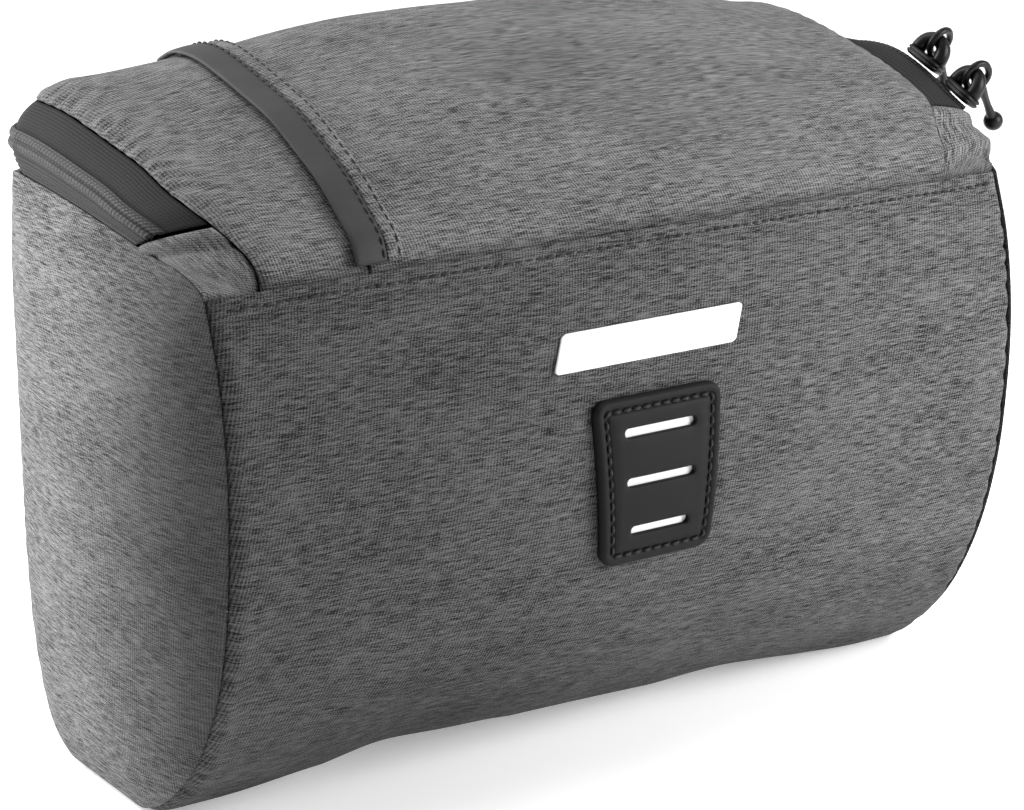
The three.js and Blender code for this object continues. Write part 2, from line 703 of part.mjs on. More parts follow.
// A frame on the zip: origin on the coil, x forward along the zip, y down across the tape, z away from it
function zipFrame(fromTab) {
  const share = fromTab / zipLineLength;
  const forward = zipLine.getTangentAt(share).negate();
  const along = rightTabShare + (cornerStart - rightTabShare) * zipLine.getUtoTmapping(share);
  const station = endStation(1, along);
  const across = zipPoint(station, ridgeShare + 0.05).sub(zipPoint(station, ridgeShare - 0.05));
  const outward = forward.clone().cross(across).normalize();
  if (outward.x < 0) outward.negate();
  outward.applyAxisAngle(forward, THREE.MathUtils.degToRad(sliderTurn));
  const down = outward.clone().cross(forward).normalize();
  const frame = new THREE.Group();
  frame.matrixAutoUpdate = false;
  const origin = zipLine.getPointAt(share).addScaledVector(outward, 2 * gap + coilHeight + sliderRaise);
  frame.matrix.makeBasis(forward, down, outward).setPosition(origin);
  return frame;
}

const barHeight = sliderThickness + crownHoleHeight + crownBar / 2;

// A slider: a plate with a narrower nose, and a crown that arches along it
function sliderGeometry() {
  const plate = new THREE.Shape();
  const half = sliderWidth / 2;
  const nose = half * 0.62;
  plate.moveTo(-sliderLength / 2 + 1.5, -nose);
  plate.quadraticCurveTo(-sliderLength / 2, -nose, -sliderLength / 2, 0);
  plate.quadraticCurveTo(-sliderLength / 2, nose, -sliderLength / 2 + 1.5, nose);
  plate.lineTo(1, half);
  plate.lineTo(sliderLength / 2 - 1.5, half);
  plate.quadraticCurveTo(sliderLength / 2, half, sliderLength / 2, half - 1.5);
  plate.lineTo(sliderLength / 2, -half + 1.5);
  plate.quadraticCurveTo(sliderLength / 2, -half, sliderLength / 2 - 1.5, -half);
  plate.lineTo(1, -half);
  plate.closePath();
  const bevel = 0.4;
  const body = new THREE.ExtrudeGeometry(plate, {
    depth: sliderThickness - 2 * bevel,
    bevelThickness: bevel,
    bevelSize: bevel,
    bevelOffset: -bevel,
    bevelSegments: 1,
    curveSegments: 3,
  });
  body.translate(0, 0, bevel);
  const crown = new THREE.Shape();
  const rise = crownHoleHeight + crownBar;
  crown.moveTo(crownLength / 2, -bevel);
  crown.bezierCurveTo(crownLength / 2, rise * 0.9, crownLength / 4, rise, 0, rise);
  crown.bezierCurveTo(-crownLength / 4, rise, -crownLength / 2, rise * 0.9, -crownLength / 2, -bevel);
  crown.closePath();
  const hole = new THREE.Path();
  hole.absellipse(0, crownHoleHeight / 2, crownHoleLength / 2, crownHoleHeight / 2, 0, 2 * Math.PI, true);
  crown.holes.push(hole);
  const arch = new THREE.ExtrudeGeometry(crown, {
    depth: crownThickness,
    bevelEnabled: false,
    curveSegments: 7,
  });
  arch.rotateX(Math.PI / 2);
  arch.translate(0, crownThickness / 2, sliderThickness);
  return fromManifold(toManifold(body).add(toManifold(arch)));
}

// A pull along +x: an eye whose near end is centred on the origin, a round stem and a knob
function pullGeometry() {
  const outerHalf = eyeInnerWidth / 2 + eyeWire;
  const straight = eyeInnerLength - eyeInnerWidth;
  const loop = (radius) => {
    const path = new THREE.Shape();
    path.absarc(straight, 0, radius, -Math.PI / 2, Math.PI / 2);
    path.absarc(0, 0, radius, Math.PI / 2, (3 * Math.PI) / 2);
    return path;
  };
  const eyeShape = loop(outerHalf);
  eyeShape.holes.push(loop(eyeInnerWidth / 2));
  const eye = new THREE.ExtrudeGeometry(eyeShape, { depth: eyeWire, bevelEnabled: false, curveSegments: 6 });
  eye.translate(0, 0, -eyeWire / 2);
  const stemStart = straight + eyeInnerWidth / 2 + eyeWire / 2;
  const stemLength = pullLength - knobDiameter / 2 - stemStart;
  const stem = new THREE.CylinderGeometry(stemDiameter / 2, stemDiameter / 2, stemLength, 8);
  stem.rotateZ(Math.PI / 2);
  stem.translate(stemStart + stemLength / 2, 0, 0);
  const knob = new THREE.SphereGeometry(knobDiameter / 2, 10, 6);
  knob.translate(pullLength - knobDiameter / 2, 0, 0);
  return fromManifold(toManifold(eye).add(toManifold(stem)).add(toManifold(knob)));
}

// A pull hangs from its crown's bar, turned about the zip's own direction
function hangPull(frame) {
  const pivot = new THREE.Group();
  pivot.position.z = barHeight;
  pivot.rotation.x = hangAngle(frame);
  const pull = new THREE.Group();
  pull.quaternion.setFromAxisAngle(new THREE.Vector3(1, 1, 1).normalize(), (2 * Math.PI) / 3);
  pull.position.y = eyeInnerWidth / 2 - Math.hypot(crownBar, crownThickness) / 2 - gap;
  pivot.add(pull);
  frame.add(pivot);
  return pull;
}

// The angle about the zip's direction at which a pull points down, leaning out by a few degrees
function hangAngle(frame) {
  const across = new THREE.Vector3().setFromMatrixColumn(frame.matrix, 1);
  const outward = new THREE.Vector3().setFromMatrixColumn(frame.matrix, 2);
  return Math.atan2(-outward.z, -across.z) + THREE.MathUtils.degToRad(hangLean);
}

// Loops for the handlebar

function barStrap() {
  const inner = (barDiameter + barClearance) / 2;
  const outer = inner + strapThickness;
  const reach = outer + strapTail;
  const shape = new THREE.Shape();
  const lean = Math.acos(1 - strapThickness / outer);
  shape.moveTo(0, -reach);
  shape.lineTo(strapThickness, -reach);
  shape.lineTo(strapThickness, -outer * Math.sin(lean));
  shape.absarc(outer, 0, outer, Math.PI + lean, Math.PI - lean);
  shape.lineTo(strapThickness, reach);
  shape.lineTo(0, reach);
  shape.closePath();
  const hole = new THREE.Path();
  hole.absarc(outer, 0, inner, 0, 2 * Math.PI, true);
  shape.holes.push(hole);
  const loop = new THREE.ExtrudeGeometry(shape, { depth: strapWidth, bevelEnabled: false, curveSegments: 14 });
  loop.rotateX(Math.PI / 2);
  loop.rotateZ(Math.PI / 2);
  return loop;
}

addPiece('front_panel', frontPanel(), 'heather');
addPiece('back_panel', backPanel(), 'heather');
addPiece('end_panel_left', endPanel(-1), 'endHeather');
addPiece('end_panel_right', endPanel(1), 'endHeather');
addPiece('lid_panel_left', lidPanelLeft(), 'heather');
addPiece('lid_panel_right', lidPanelRight(), 'heather');
addPiece('lid_band', lidBand(), 'smoothBand');
addPiece('lid_placket', lidPlacket(), 'heather');
addPiece('zip_tape_lower', zipTape([0, ...spread(4, tuckShare, ridgeShare - tapeGap)]), 'zipTape');
addPiece('zip_tape_upper', zipTape(spread(4, ridgeShare + tapeGap, 1)), 'zipTape');
addPiece('zip_coil', zipCoil(), 'zipCoil');
addPiece('zip_tab_left', zipTab(-1), 'heather');
addPiece('zip_tab_right', zipTab(1), 'heather');
addPiece('label', frontLabel(), 'reflective');
addPiece('light_patch', lightPatch(), 'rubber');
addPiece('patch_insert', patchInsert(0), 'reflective');

const frontFrame = zipFrame(sliderFromTab);
const backFrame = zipFrame(sliderFromTab + sliderPitch);
bag.add(frontFrame, backFrame);
addPiece('zip_slider_front', sliderGeometry(), 'blackMetal', frontFrame);
addPiece('zip_slider_back', sliderGeometry(), 'blackMetal', backFrame);
addPiece('zip_pull_front', pullGeometry(), 'blackMetal', hangPull(frontFrame));
addPiece('zip_pull_back', pullGeometry(), 'blackMetal', hangPull(backFrame));

for (const [name, side] of [['bar_strap_left', -1], ['bar_strap_right', 1]]) {
  const strap = addPiece(name, barStrap(), 'webbing');
  strap.position.set((side * strapSpacing) / 2, bodyDepth + gap, strapHeight * hemHeight);
}

// The natural reference point: the middle of the box, on the surface that the bag stands on
bag.updateMatrixWorld(true);
const whole = new THREE.Box3().setFromObject(bag, true);
const placed = new THREE.Group();
placed.add(bag);
const centre = whole.getCenter(new THREE.Vector3());
bag.position.set(-centre.x, -centre.y, -whole.min.z);

export default placed;
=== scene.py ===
# %% [markdown]
# # A padded handlebar bag
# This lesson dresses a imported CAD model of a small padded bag: a wrapped body of heather cloth, domed ends,
# an arched lid, a zip that runs round three sides, a rubber light patch, and two loops for a handlebar.
# Everything is in metres, in the frame of the CAD model, so each piece can be built straight in place.

# %% Load the frame
import json
import math

import bmesh
import bpy
import numpy as np
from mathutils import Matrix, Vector


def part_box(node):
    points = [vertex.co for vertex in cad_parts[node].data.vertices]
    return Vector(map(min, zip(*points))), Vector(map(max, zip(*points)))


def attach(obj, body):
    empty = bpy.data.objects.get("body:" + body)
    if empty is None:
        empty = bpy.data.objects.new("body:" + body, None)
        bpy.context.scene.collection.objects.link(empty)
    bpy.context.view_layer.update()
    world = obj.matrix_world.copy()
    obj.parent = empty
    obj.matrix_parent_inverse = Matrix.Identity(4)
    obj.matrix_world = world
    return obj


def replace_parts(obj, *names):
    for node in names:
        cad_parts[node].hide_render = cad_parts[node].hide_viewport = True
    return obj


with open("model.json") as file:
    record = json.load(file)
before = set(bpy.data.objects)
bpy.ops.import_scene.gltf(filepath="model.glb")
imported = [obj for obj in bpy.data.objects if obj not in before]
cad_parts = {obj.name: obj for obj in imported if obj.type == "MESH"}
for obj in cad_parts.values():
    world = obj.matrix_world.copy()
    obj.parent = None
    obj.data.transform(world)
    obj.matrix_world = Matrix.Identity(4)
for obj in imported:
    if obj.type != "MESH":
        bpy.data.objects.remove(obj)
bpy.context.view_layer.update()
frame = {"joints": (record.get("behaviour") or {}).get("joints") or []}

# %% [markdown]
# ## Sizes
# The dressed pieces follow the same curves as the solids that they stand for. The overall sizes are read
# from the frame's boxes, and the softer values, such as wall thicknesses, are written here once.

# %% Sizes read from the frame
MM = 0.001
front_low, front_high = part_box("front_panel")
strap_low, strap_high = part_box("bar_strap_left")
strap_right_low, strap_right_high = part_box("bar_strap_right")

seam_length = front_high.x - front_low.x
half_length = seam_length / 2
strap_height_share = 0.66
hem_height = (strap_low.z + strap_high.z) / 2 / strap_height_share
gap = 0.3 * MM
body_depth = 111 * MM
middle_x = (front_low.x + front_high.x) / 2
outline_start_y = strap_low.y - gap - body_depth
print("seam length", round(seam_length / MM, 2), "hem height", round(hem_height / MM, 2))

# %% Softer sizes, in metres
wall = 2.5 * MM
lid_wall = 1.6 * MM
end_dome = 8.2 * MM
end_top_rise = 11.5 * MM
hem_width = 3.6 * MM
hem_proud = 0.6 * MM
front_belly = 3 * MM
belly_top = 0.72
draw_in = 0.3
sole_lift = 2 * MM
foot_length = 16 * MM
seam_roll = 1.5 * MM
back_top_arch = 3 * MM
back_lean = 0.025
back_seam_height = 0.16
lid_back_inset = 1.5 * MM
shoulder_rise = 31 * MM
lid_arch = 13 * MM
arch_skew = 0.08
hem_inset = 15.5 * MM
corner_radius = 6 * MM
zip_tuck = 2 * MM
zip_bulge = 4 * MM
zip_lift = 7 * MM
slider_bulge = 7.2 * MM
slider_drag = 6 * MM
corner_sag = 4.5 * MM
tab_share = 3.5 / 11
right_tab_share = 0.36

# %% [markdown]
# ## Curves of the body
# A sewn bag is a few flat patterns bent into shape, so two tables describe it well: one for the side outline
# and one for the lid. Each table is read through a smooth curve, which gives a place for any share of the way.

# %% Tables of shares
side_rows = np.array([
    [0.076, 1.0], [0.03, 0.889], [0.003, 0.747], [0.003, 0.596], [0.028, 0.424], [0.085, 0.282], [0.19, 0.146],
    [0.33, 0.045], [0.42, 0.008], [0.46, 0.0], [0.57, 0.0], [0.68, 0.0], [0.79, 0.0], [0.895, 0.045],
    [0.965, 0.171], [0.996, 0.353], [1.0, 0.464], [1.0, 0.616], [1.0, 0.768], [1.0, 0.919],
])
lid_rows = {
    "back": [0.0, 0.004, 0.025, 0.08, 0.175, 0.28, 0.41, 0.55, 0.685, 0.8, 0.91, 1.0],
    "edge": [-0.08, 0.06, 0.21, 0.34, 0.53, 0.64, 0.76, 0.85, 0.93, 0.98, 1.0, 1.0],
    "crown": [0.0, 0.0, 0.0, 0.02, 0.12, 0.39, 0.69, 0.83, 0.94, 1.0, 0.86, 0.4],
    "inset": [1.0, 0.98, 0.91, 0.78, 0.49, 0.36, 0.33, 0.28, 0.24, 0.22, 0.2, 0.2],
    "under": [0.0, 0.05, 0.13, 0.23, 0.35, 0.44, 0.53, 0.63, 0.72, 0.81, 0.91, 1.0],
}
end_top_rows = {"back": [0.0, 0.1, 0.25, 0.45, 0.7, 1.0], "rise": [0.0, 0.28, 0.4, 0.6, 0.82, 1.0]}


# %% Smooth reading of a table
def smooth_column(places, values):
    """A curve through a table's column, with the slopes of its neighbouring rows."""
    places, values = np.asarray(places, float), np.asarray(values, float)
    slopes = np.gradient(values, places)

    def read(at):
        at = np.clip(at, places[0], places[-1])
        row = np.clip(np.searchsorted(places, at, side="right") - 1, 0, len(places) - 2)
        width = places[row + 1] - places[row]
        t = (at - places[row]) / width
        rise = values[row] * (2 * t**3 - 3 * t**2 + 1) + values[row + 1] * (3 * t**2 - 2 * t**3)
        return rise + width * (slopes[row] * (t**3 - 2 * t**2 + t) + slopes[row + 1] * (t**3 - t**2))

    return read


def ramp(value, low, high):
    """A smooth step from 0 at low to 1 at high."""
    t = np.clip((value - low) / (high - low), 0, 1)
    return t * t * (3 - 2 * t)


share_of_rows = np.linspace(0, 1, len(lid_rows["back"]))
lid_back_share, lid_edge_share, lid_crown_share, lid_inset_share, lid_under_share = (
    smooth_column(share_of_rows, lid_rows[name]) for name in ("back", "edge", "crown", "inset", "under")
)
end_top_share = smooth_column(end_top_rows["back"], end_top_rows["rise"])


# %% The side outline, by length
def centripetal_spline(points, per_span=80):
    """A centripetal Catmull-Rom curve through points, as many short steps."""
    points = np.asarray(points, float)
    ends = [2 * points[0] - points[1], *points, 2 * points[-1] - points[-2]]
    steps = []
    for i in range(len(points) - 1):
        p0, p1, p2, p3 = ends[i:i + 4]
        t0 = 0.0
        t1 = t0 + np.linalg.norm(p1 - p0) ** 0.5
        t2 = t1 + np.linalg.norm(p2 - p1) ** 0.5
        t3 = t2 + np.linalg.norm(p3 - p2) ** 0.5
        t = np.linspace(t1, t2, per_span, endpoint=False)[:, None]
        a1 = (t1 - t) / (t1 - t0) * p0 + (t - t0) / (t1 - t0) * p1
        a2 = (t2 - t) / (t2 - t1) * p1 + (t - t1) / (t2 - t1) * p2
        a3 = (t3 - t) / (t3 - t2) * p2 + (t - t2) / (t3 - t2) * p3
        b1 = (t2 - t) / (t2 - t0) * a1 + (t - t0) / (t2 - t0) * a2
        b2 = (t3 - t) / (t3 - t1) * a2 + (t - t1) / (t3 - t1) * a3
        steps.append((t2 - t) / (t2 - t1) * b1 + (t - t1) / (t2 - t1) * b2)
    steps.append(points[-1:])
    return np.vstack(steps)


back_top = hem_height + end_top_rise
outline_line = centripetal_spline(
    np.vstack([side_rows * [body_depth, hem_height], [[(1 - back_lean) * body_depth, back_top]]])
)
outline_lengths = np.concatenate([[0], np.cumsum(np.linalg.norm(np.diff(outline_line, axis=0), axis=1))])
outline_length = outline_lengths[-1]
print("cloth from the hem round to the back's top:", round(outline_length / MM, 1), "mm")


def outline_at(along):
    """Depth and height of the side outline at a length along it."""
    along = np.clip(along, 0, outline_length)
    y, z = (np.interp(along, outline_lengths, outline_line[:, axis]) for axis in (0, 1))
    return y, z


def along_at_height(height):
    """The length along the outline where the rising back reaches a height."""
    rising = outline_lengths > outline_length / 2
    return float(np.interp(height, outline_line[rising, 1], outline_lengths[rising]))


back_seam_along = along_at_height(back_seam_height * hem_height)


# %% A point of the wrapped wall
def belly_share(height):
    low = np.sin(np.pi * np.clip(height, 0, belly_top) / belly_top)
    high = -draw_in * np.sin(np.pi * np.clip((height - belly_top) / (1 - belly_top), 0, 1))
    return np.where(height < belly_top, low, high)


def body_point(along, x, inward=0.0):
    """Points of the wrap: a length along the outline, a place along the bag, and a depth inside its face."""
    along, x, inward = np.broadcast_arrays(*(np.asarray(values, float) for values in (along, x, inward)))
    y, z = outline_at(along)
    step = 0.4 * MM
    y_before, z_before = outline_at(along - step)
    y_after, z_after = outline_at(along + step)
    reach = np.hypot(y_after - y_before, z_after - z_before)
    out_y, out_z = (z_after - z_before) / reach, -(y_after - y_before) / reach
    across = np.abs(x) / half_length
    roll = seam_roll * ramp(np.abs(x), half_length - 3 * seam_roll, half_length) ** 2
    inset = inward + roll
    swell = 1 - across**2
    low = np.maximum(0, 1 - z / (0.35 * hem_height))
    lift = sole_lift * low**2 * (1 - ramp(np.abs(x), half_length - 3 * foot_length, half_length - foot_length))
    belly = front_belly * swell * belly_share(z / hem_height)
    in_front = 1 - ramp(y, 0.5 * body_depth, 0.6 * body_depth)
    low_front = in_front * (1 - ramp(z, 0.05 * hem_height, 0.45 * hem_height))
    sag = corner_sag * ramp(x, -half_length / 3, half_length) * low_front
    arch = back_top_arch * swell * ramp(z, 0.9 * hem_height, back_top) * np.maximum(0, out_y)
    return np.stack([
        x + middle_x,
        outline_start_y + y - out_y * inset - belly * np.maximum(0, -out_y),
        np.maximum(z - out_z * inset - sag, inset) + lift + arch,
    ], axis=-1)


front_samples = body_point(np.linspace(0, 0.2, 200)[:, None], np.linspace(-half_length, half_length, 50)[None])
print("front-most y in mm:", round(front_samples[..., 1].min() / MM, 2), "CAD", round(front_low.y / MM, 2))

# %% The lid's face
hem_depth = side_rows[0][0] * body_depth
back_top_depth = (1 - back_lean) * body_depth
lid_front = hem_depth + wall + gap
lid_back = back_top_depth - wall - gap - lid_back_inset
lid_depth = lid_back - lid_front


def lid_y(along):
    return lid_front + lid_depth * lid_back_share(along)


def corner_angle(along):
    """How far round the lid's back corner a place on its end seam lies, from 0 to a quarter turn."""
    return np.arcsin(np.clip((lid_y(along) - (lid_back - corner_radius)) / corner_radius, 0, 1))


def lid_half_length(along):
    return half_length - hem_inset * lid_inset_share(along) - corner_radius * (1 - np.cos(corner_angle(along)))


def lid_point(x, along, height=0.0):
    """Points over the lid: a place along the bag, a share of the way back, and a height off its face."""
    x, along = np.broadcast_arrays(np.asarray(x, float), np.asarray(along, float))

    def face(x, along):
        towards_end = x / lid_half_length(along)
        crown = lid_arch * lid_crown_share(along) * (1 - towards_end**2) * (1 + arch_skew * towards_end)
        z = hem_height + shoulder_rise * lid_edge_share(along) + crown
        return np.stack([x + middle_x, outline_start_y + lid_y(along), z], axis=-1)

    step = 0.004
    across = face(x + 0.5 * MM, along) - face(x - 0.5 * MM, along)
    back = face(x, np.minimum(along + step, 1)) - face(x, np.maximum(along - step, 0))
    normal = np.cross(across, back)
    normal /= np.linalg.norm(normal, axis=-1, keepdims=True)
    return face(x, along) + normal * np.asarray(height)[..., None], normal


def along_at_corner(angle):
    """The share of the way along the lid where its seam reaches an angle round the back corner."""
    target = lid_back - corner_radius + corner_radius * math.sin(angle)
    places = np.linspace(0.5, 1, 4000)
    return float(np.interp(target, lid_y(places), places))


corner_start = along_at_corner(0)
print("lid depth in mm:", round(lid_depth / MM, 1), "corner starts at", round(corner_start, 3))


# %% The zip's face
def end_top_height(y):
    return hem_height + end_top_rise * end_top_share((y - hem_depth) / (back_top_depth - hem_depth))


zip_back_x = half_length - hem_inset * lid_rows["inset"][-1] - corner_radius
tuck_share = 0.1
straight_share = 0.88
ridge_share = 0.5 + tuck_share / 2


def end_station(side, along):
    """The two seams of the zip at a share of the way along an end: lower edge, upper edge, and the way out."""
    upper_x = side * lid_half_length(along)
    upper = lid_point(upper_x, along, -(lid_wall + gap))[0]
    turn = float(corner_angle(along))
    lower_back = back_top_depth - wall - gap
    under = min(1, float(lid_under_share(along)) / straight_share)
    straight = lid_front + (lower_back - corner_radius - lid_front) * under
    lower_y = lower_back - corner_radius * (1 - math.sin(turn)) if turn > 0 else straight
    lower_x = side * (half_length - corner_radius * (1 - math.cos(turn)))
    edge = np.array([lower_x + middle_x, lower_y + outline_start_y, float(end_top_height(lower_y)) + gap])
    return edge, np.array(upper), np.array([side * math.cos(turn), math.sin(turn), 0.0]), side, along


def back_station(x):
    upper = lid_point(x, 1.0, -(lid_wall + gap))[0]
    lower_x = x / zip_back_x * (half_length - corner_radius)
    swell = 1 - (lower_x / half_length) ** 2
    edge = np.array([
        lower_x + middle_x,
        back_top_depth - wall - gap + outline_start_y,
        back_top + back_top_arch * swell + gap,
    ])
    return edge, np.array(upper), np.array([0.0, 1.0, 0.0]), 0, 1.0


def zip_points(station, across):
    """Points across the zip at one station, from 0 at its tucked lower edge to 1 at its upper seam."""
    edge, upper, out, side, along = station
    across = np.asarray(across, float)
    ridge = (edge + upper) / 2 + out * zip_bulge * float(ramp(along, 0, tab_share * 0.6))
    if side > 0:
        ridge = ridge + out * slider_bulge * float(ramp(along, -0.1, 0.1) * (1 - ramp(along, 0.4, 0.75)))
        ridge[1] -= slider_drag * float(ramp(along, 0.05, 0.36) * (1 - ramp(along, 0.36, 0.65)))
        near_hem = 0.25 * float(1 - ramp(along, 0.1, 0.36))
        ridge[2] += zip_lift * (near_hem + float(ramp(along, 0.38, 0.58) * (1 - ramp(along, 0.58, 0.82))))
    pull = 2 * ridge - 0.5 * edge - 0.5 * upper
    t = np.clip((across - tuck_share) / (1 - tuck_share), 0, 1)[:, None]
    curve = (1 - t) ** 2 * edge + 2 * t * (1 - t) * pull + t**2 * upper
    tucked = np.clip(1 - across / tuck_share, 0, 1)[:, None] * np.array([0, 0, -(zip_tuck + gap)])
    return curve + tucked


tab_gap = 4 * gap / lid_depth


def zip_stations(end_count, corner_count, back_count):
    """Stations from the left tab round the back to the right tab."""
    alongs = np.linspace(tab_share + tab_gap, corner_start, end_count)
    angles = np.linspace(0, math.pi / 2, corner_count + 2)[1:-1]
    corners = [along_at_corner(a) for a in angles]
    left = [end_station(-1, a) for a in [*alongs, *corners]]
    right_alongs = np.linspace(right_tab_share + tab_gap, corner_start, end_count)
    right = [end_station(1, a) for a in [*right_alongs, *corners]][::-1]
    back = [back_station(x) for x in np.linspace(-zip_back_x, zip_back_x, back_count)]
    return left + back + right


# %% [markdown]
# ## Camera, light and floor
# The camera stands where the photograph's perspective puts it, found from the seams' vanishing directions.
# The light is a plain studio: a large soft source over the bag, a strip behind its left end that brightens
# the dome's outer edge, and a small soft source at the front right. The white surroundings are dimmer on the
# front side, so the front stays darker than the ends. The floor is a plain pale sheet.

# %% Camera
azimuth, elevation = math.radians(-34), math.radians(17)
back_to_camera = Vector((
    math.sin(azimuth) * math.cos(elevation), -math.cos(azimuth) * math.cos(elevation), math.sin(elevation)
))
camera_data = bpy.data.cameras.new("camera")
camera_data.sensor_width = 36
camera_data.lens = 36 * 3050 / 1024
camera_data.clip_start, camera_data.clip_end = 0.05, 30
camera = bpy.data.objects.new("camera", camera_data)
bpy.context.scene.collection.objects.link(camera)
camera_from_hem = Vector((-424.04, -574.68, 174.12)) * MM
camera.location = camera_from_hem + Vector((middle_x, outline_start_y + hem_depth, hem_height))
camera.rotation_mode = "QUATERNION"
camera.rotation_quaternion = (-back_to_camera).to_track_quat("-Z", "Y")
bpy.context.scene.camera = camera
print("camera at", [round(v, 3) for v in camera.location])


# %% Lights
def soft_light(name, place, target, size, power, height=None):
    """An area light at a place, facing a target."""
    light = bpy.data.lights.new(name, "AREA")
    light.shape = "RECTANGLE"
    light.size, light.size_y = size, height or size
    light.energy = power
    lamp = bpy.data.objects.new(name, light)
    bpy.context.scene.collection.objects.link(lamp)
    lamp.location = place
    lamp.rotation_euler = (Vector(target) - Vector(place)).to_track_quat("-Z", "Y").to_euler()
    return lamp


soft_light("over", (-0.15, 0.15, 1.1), (0, 0, 0.1), 0.9, 9)
soft_light("left_strip", (-0.6, 0.75, 0.45), (-0.12, 0, 0.1), 0.4, 19, 0.8)
soft_light("right_fill", (0.36, -0.42, 0.28), (0.1, -0.05, 0.1), 0.32, 4.4)
world = bpy.data.worlds.new("studio")
world.use_nodes = True
nodes, links = world.node_tree.nodes, world.node_tree.links
way = nodes.new("ShaderNodeTexCoord")
parts = nodes.new("ShaderNodeSeparateXYZ")
half_dome = nodes.new("ShaderNodeMapRange")
half_dome.interpolation_type = "SMOOTHSTEP"
for socket, value in (("From Min", -0.35), ("From Max", 0.3), ("To Min", 0.14), ("To Max", 1.0)):
    half_dome.inputs[socket].default_value = value
links.new(way.outputs["Generated"], parts.inputs["Vector"])
links.new(parts.outputs["Y"], half_dome.inputs["Value"])
links.new(half_dome.outputs["Result"], nodes["Background"].inputs["Strength"])
nodes["Background"].inputs["Color"].default_value = (1, 1, 1, 1)
bpy.context.scene.world = world
bpy.context.scene.view_settings.view_transform = "Standard"

# %% [markdown]
# ## Shader maths
# A material is easier to read as a formula than as a tangle of nodes. The small class below wraps a socket,
# so that `0.4 + 0.2 * mask` adds the Math nodes by itself. Colours are mixed with Mix nodes, and every other
# node comes from one method that takes its type, its settings and its socket values.


# %% One class for shader formulas
class Value:
    """A number that varies over a surface: a socket that can be used in Python sums."""

    def __init__(self, shader, socket):
        self.shader, self.socket = shader, socket

    def _math(self, operation, *others):
        return self.shader.node("ShaderNodeMath", {"operation": operation}, dict(enumerate(others)))

    def __add__(self, other):
        return self._math("ADD", self, other)

    def __sub__(self, other):
        return self._math("SUBTRACT", self, other)

    def __rsub__(self, other):
        return self._math("SUBTRACT", other, self)

    def __mul__(self, other):
        return self._math("MULTIPLY", self, other)

    def __truediv__(self, other):
        return self._math("DIVIDE", self, other)

    def __pow__(self, other):
        return self._math("POWER", self, other)

    __radd__, __rmul__ = __add__, __mul__

    def sine(self):
        return self._math("SINE", self)

    def absolute(self):
        return self._math("ABSOLUTE", self)

    def step(self, low, high):
        """A smooth step from 0 at low to 1 at high."""
        settings = {"interpolation_type": "SMOOTHSTEP"}
        sockets = {"Value": self, "From Min": low, "From Max": high}
        return self.shader.node("ShaderNodeMapRange", settings, sockets)


class Shader:
    """A material under construction, with its Principled shader."""

    def __init__(self, name, **constants):
        self.material = bpy.data.materials.new(name)
        self.material.use_nodes = True
        self.tree = self.material.node_tree
        self.surface = self.tree.nodes["Principled BSDF"]
        for socket, value in constants.items():
            self.surface.inputs[socket.replace("_", " ")].default_value = value

    def node(self, kind, settings, sockets, output=0):
        made = self.tree.nodes.new(kind)
        for name, value in settings.items():
            setattr(made, name, value)
        for key, value in sockets.items():
            if isinstance(value, Value):
                self.tree.links.new(value.socket, made.inputs[key])
            else:
                made.inputs[key].default_value = value
        return Value(self, made.outputs[output])

    def place(self, stretch=(1, 1, 1), layer="cloth"):
        """The cloth's own coordinates in millimetres, each stretched by a factor."""
        flat = self.node("ShaderNodeUVMap", {"uv_map": layer}, {})
        return self.node("ShaderNodeVectorMath", {"operation": "MULTIPLY"}, {0: flat, 1: stretch})

    def axes(self, layer="cloth"):
        """The cloth's two coordinates, in millimetres, as values."""
        flat = self.node("ShaderNodeUVMap", {"uv_map": layer}, {})
        parts = self.tree.nodes.new("ShaderNodeSeparateXYZ")
        self.tree.links.new(flat.socket, parts.inputs[0])
        return Value(self, parts.outputs[0]), Value(self, parts.outputs[1])

    def noise(self, place, scale, detail=2.0, roughness=0.5):
        sockets = {"Vector": place, "Scale": scale, "Detail": detail, "Roughness": roughness}
        return self.node("ShaderNodeTexNoise", {"noise_dimensions": "3D"}, sockets)

    def mix(self, factor, low, high):
        """A colour between two colours."""
        made = self.tree.nodes.new("ShaderNodeMix")
        made.data_type, made.clamp_factor = "RGBA", True
        for index, value in ((0, factor), (6, low), (7, high)):
            if isinstance(value, Value):
                self.tree.links.new(value.socket, made.inputs[index])
            else:
                made.inputs[index].default_value = value
        return Value(self, made.outputs[2])

    def bump(self, height, strength, distance):
        sockets = {"Height": height, "Strength": strength, "Distance": distance}
        return self.node("ShaderNodeBump", {}, sockets)

    def feed(self, **sockets):
        for name, value in sockets.items():
            self.tree.links.new(value.socket, self.surface.inputs[name.replace("_", " ")])
        return self.material


def grey(level):
    return (level, level, level, 1)
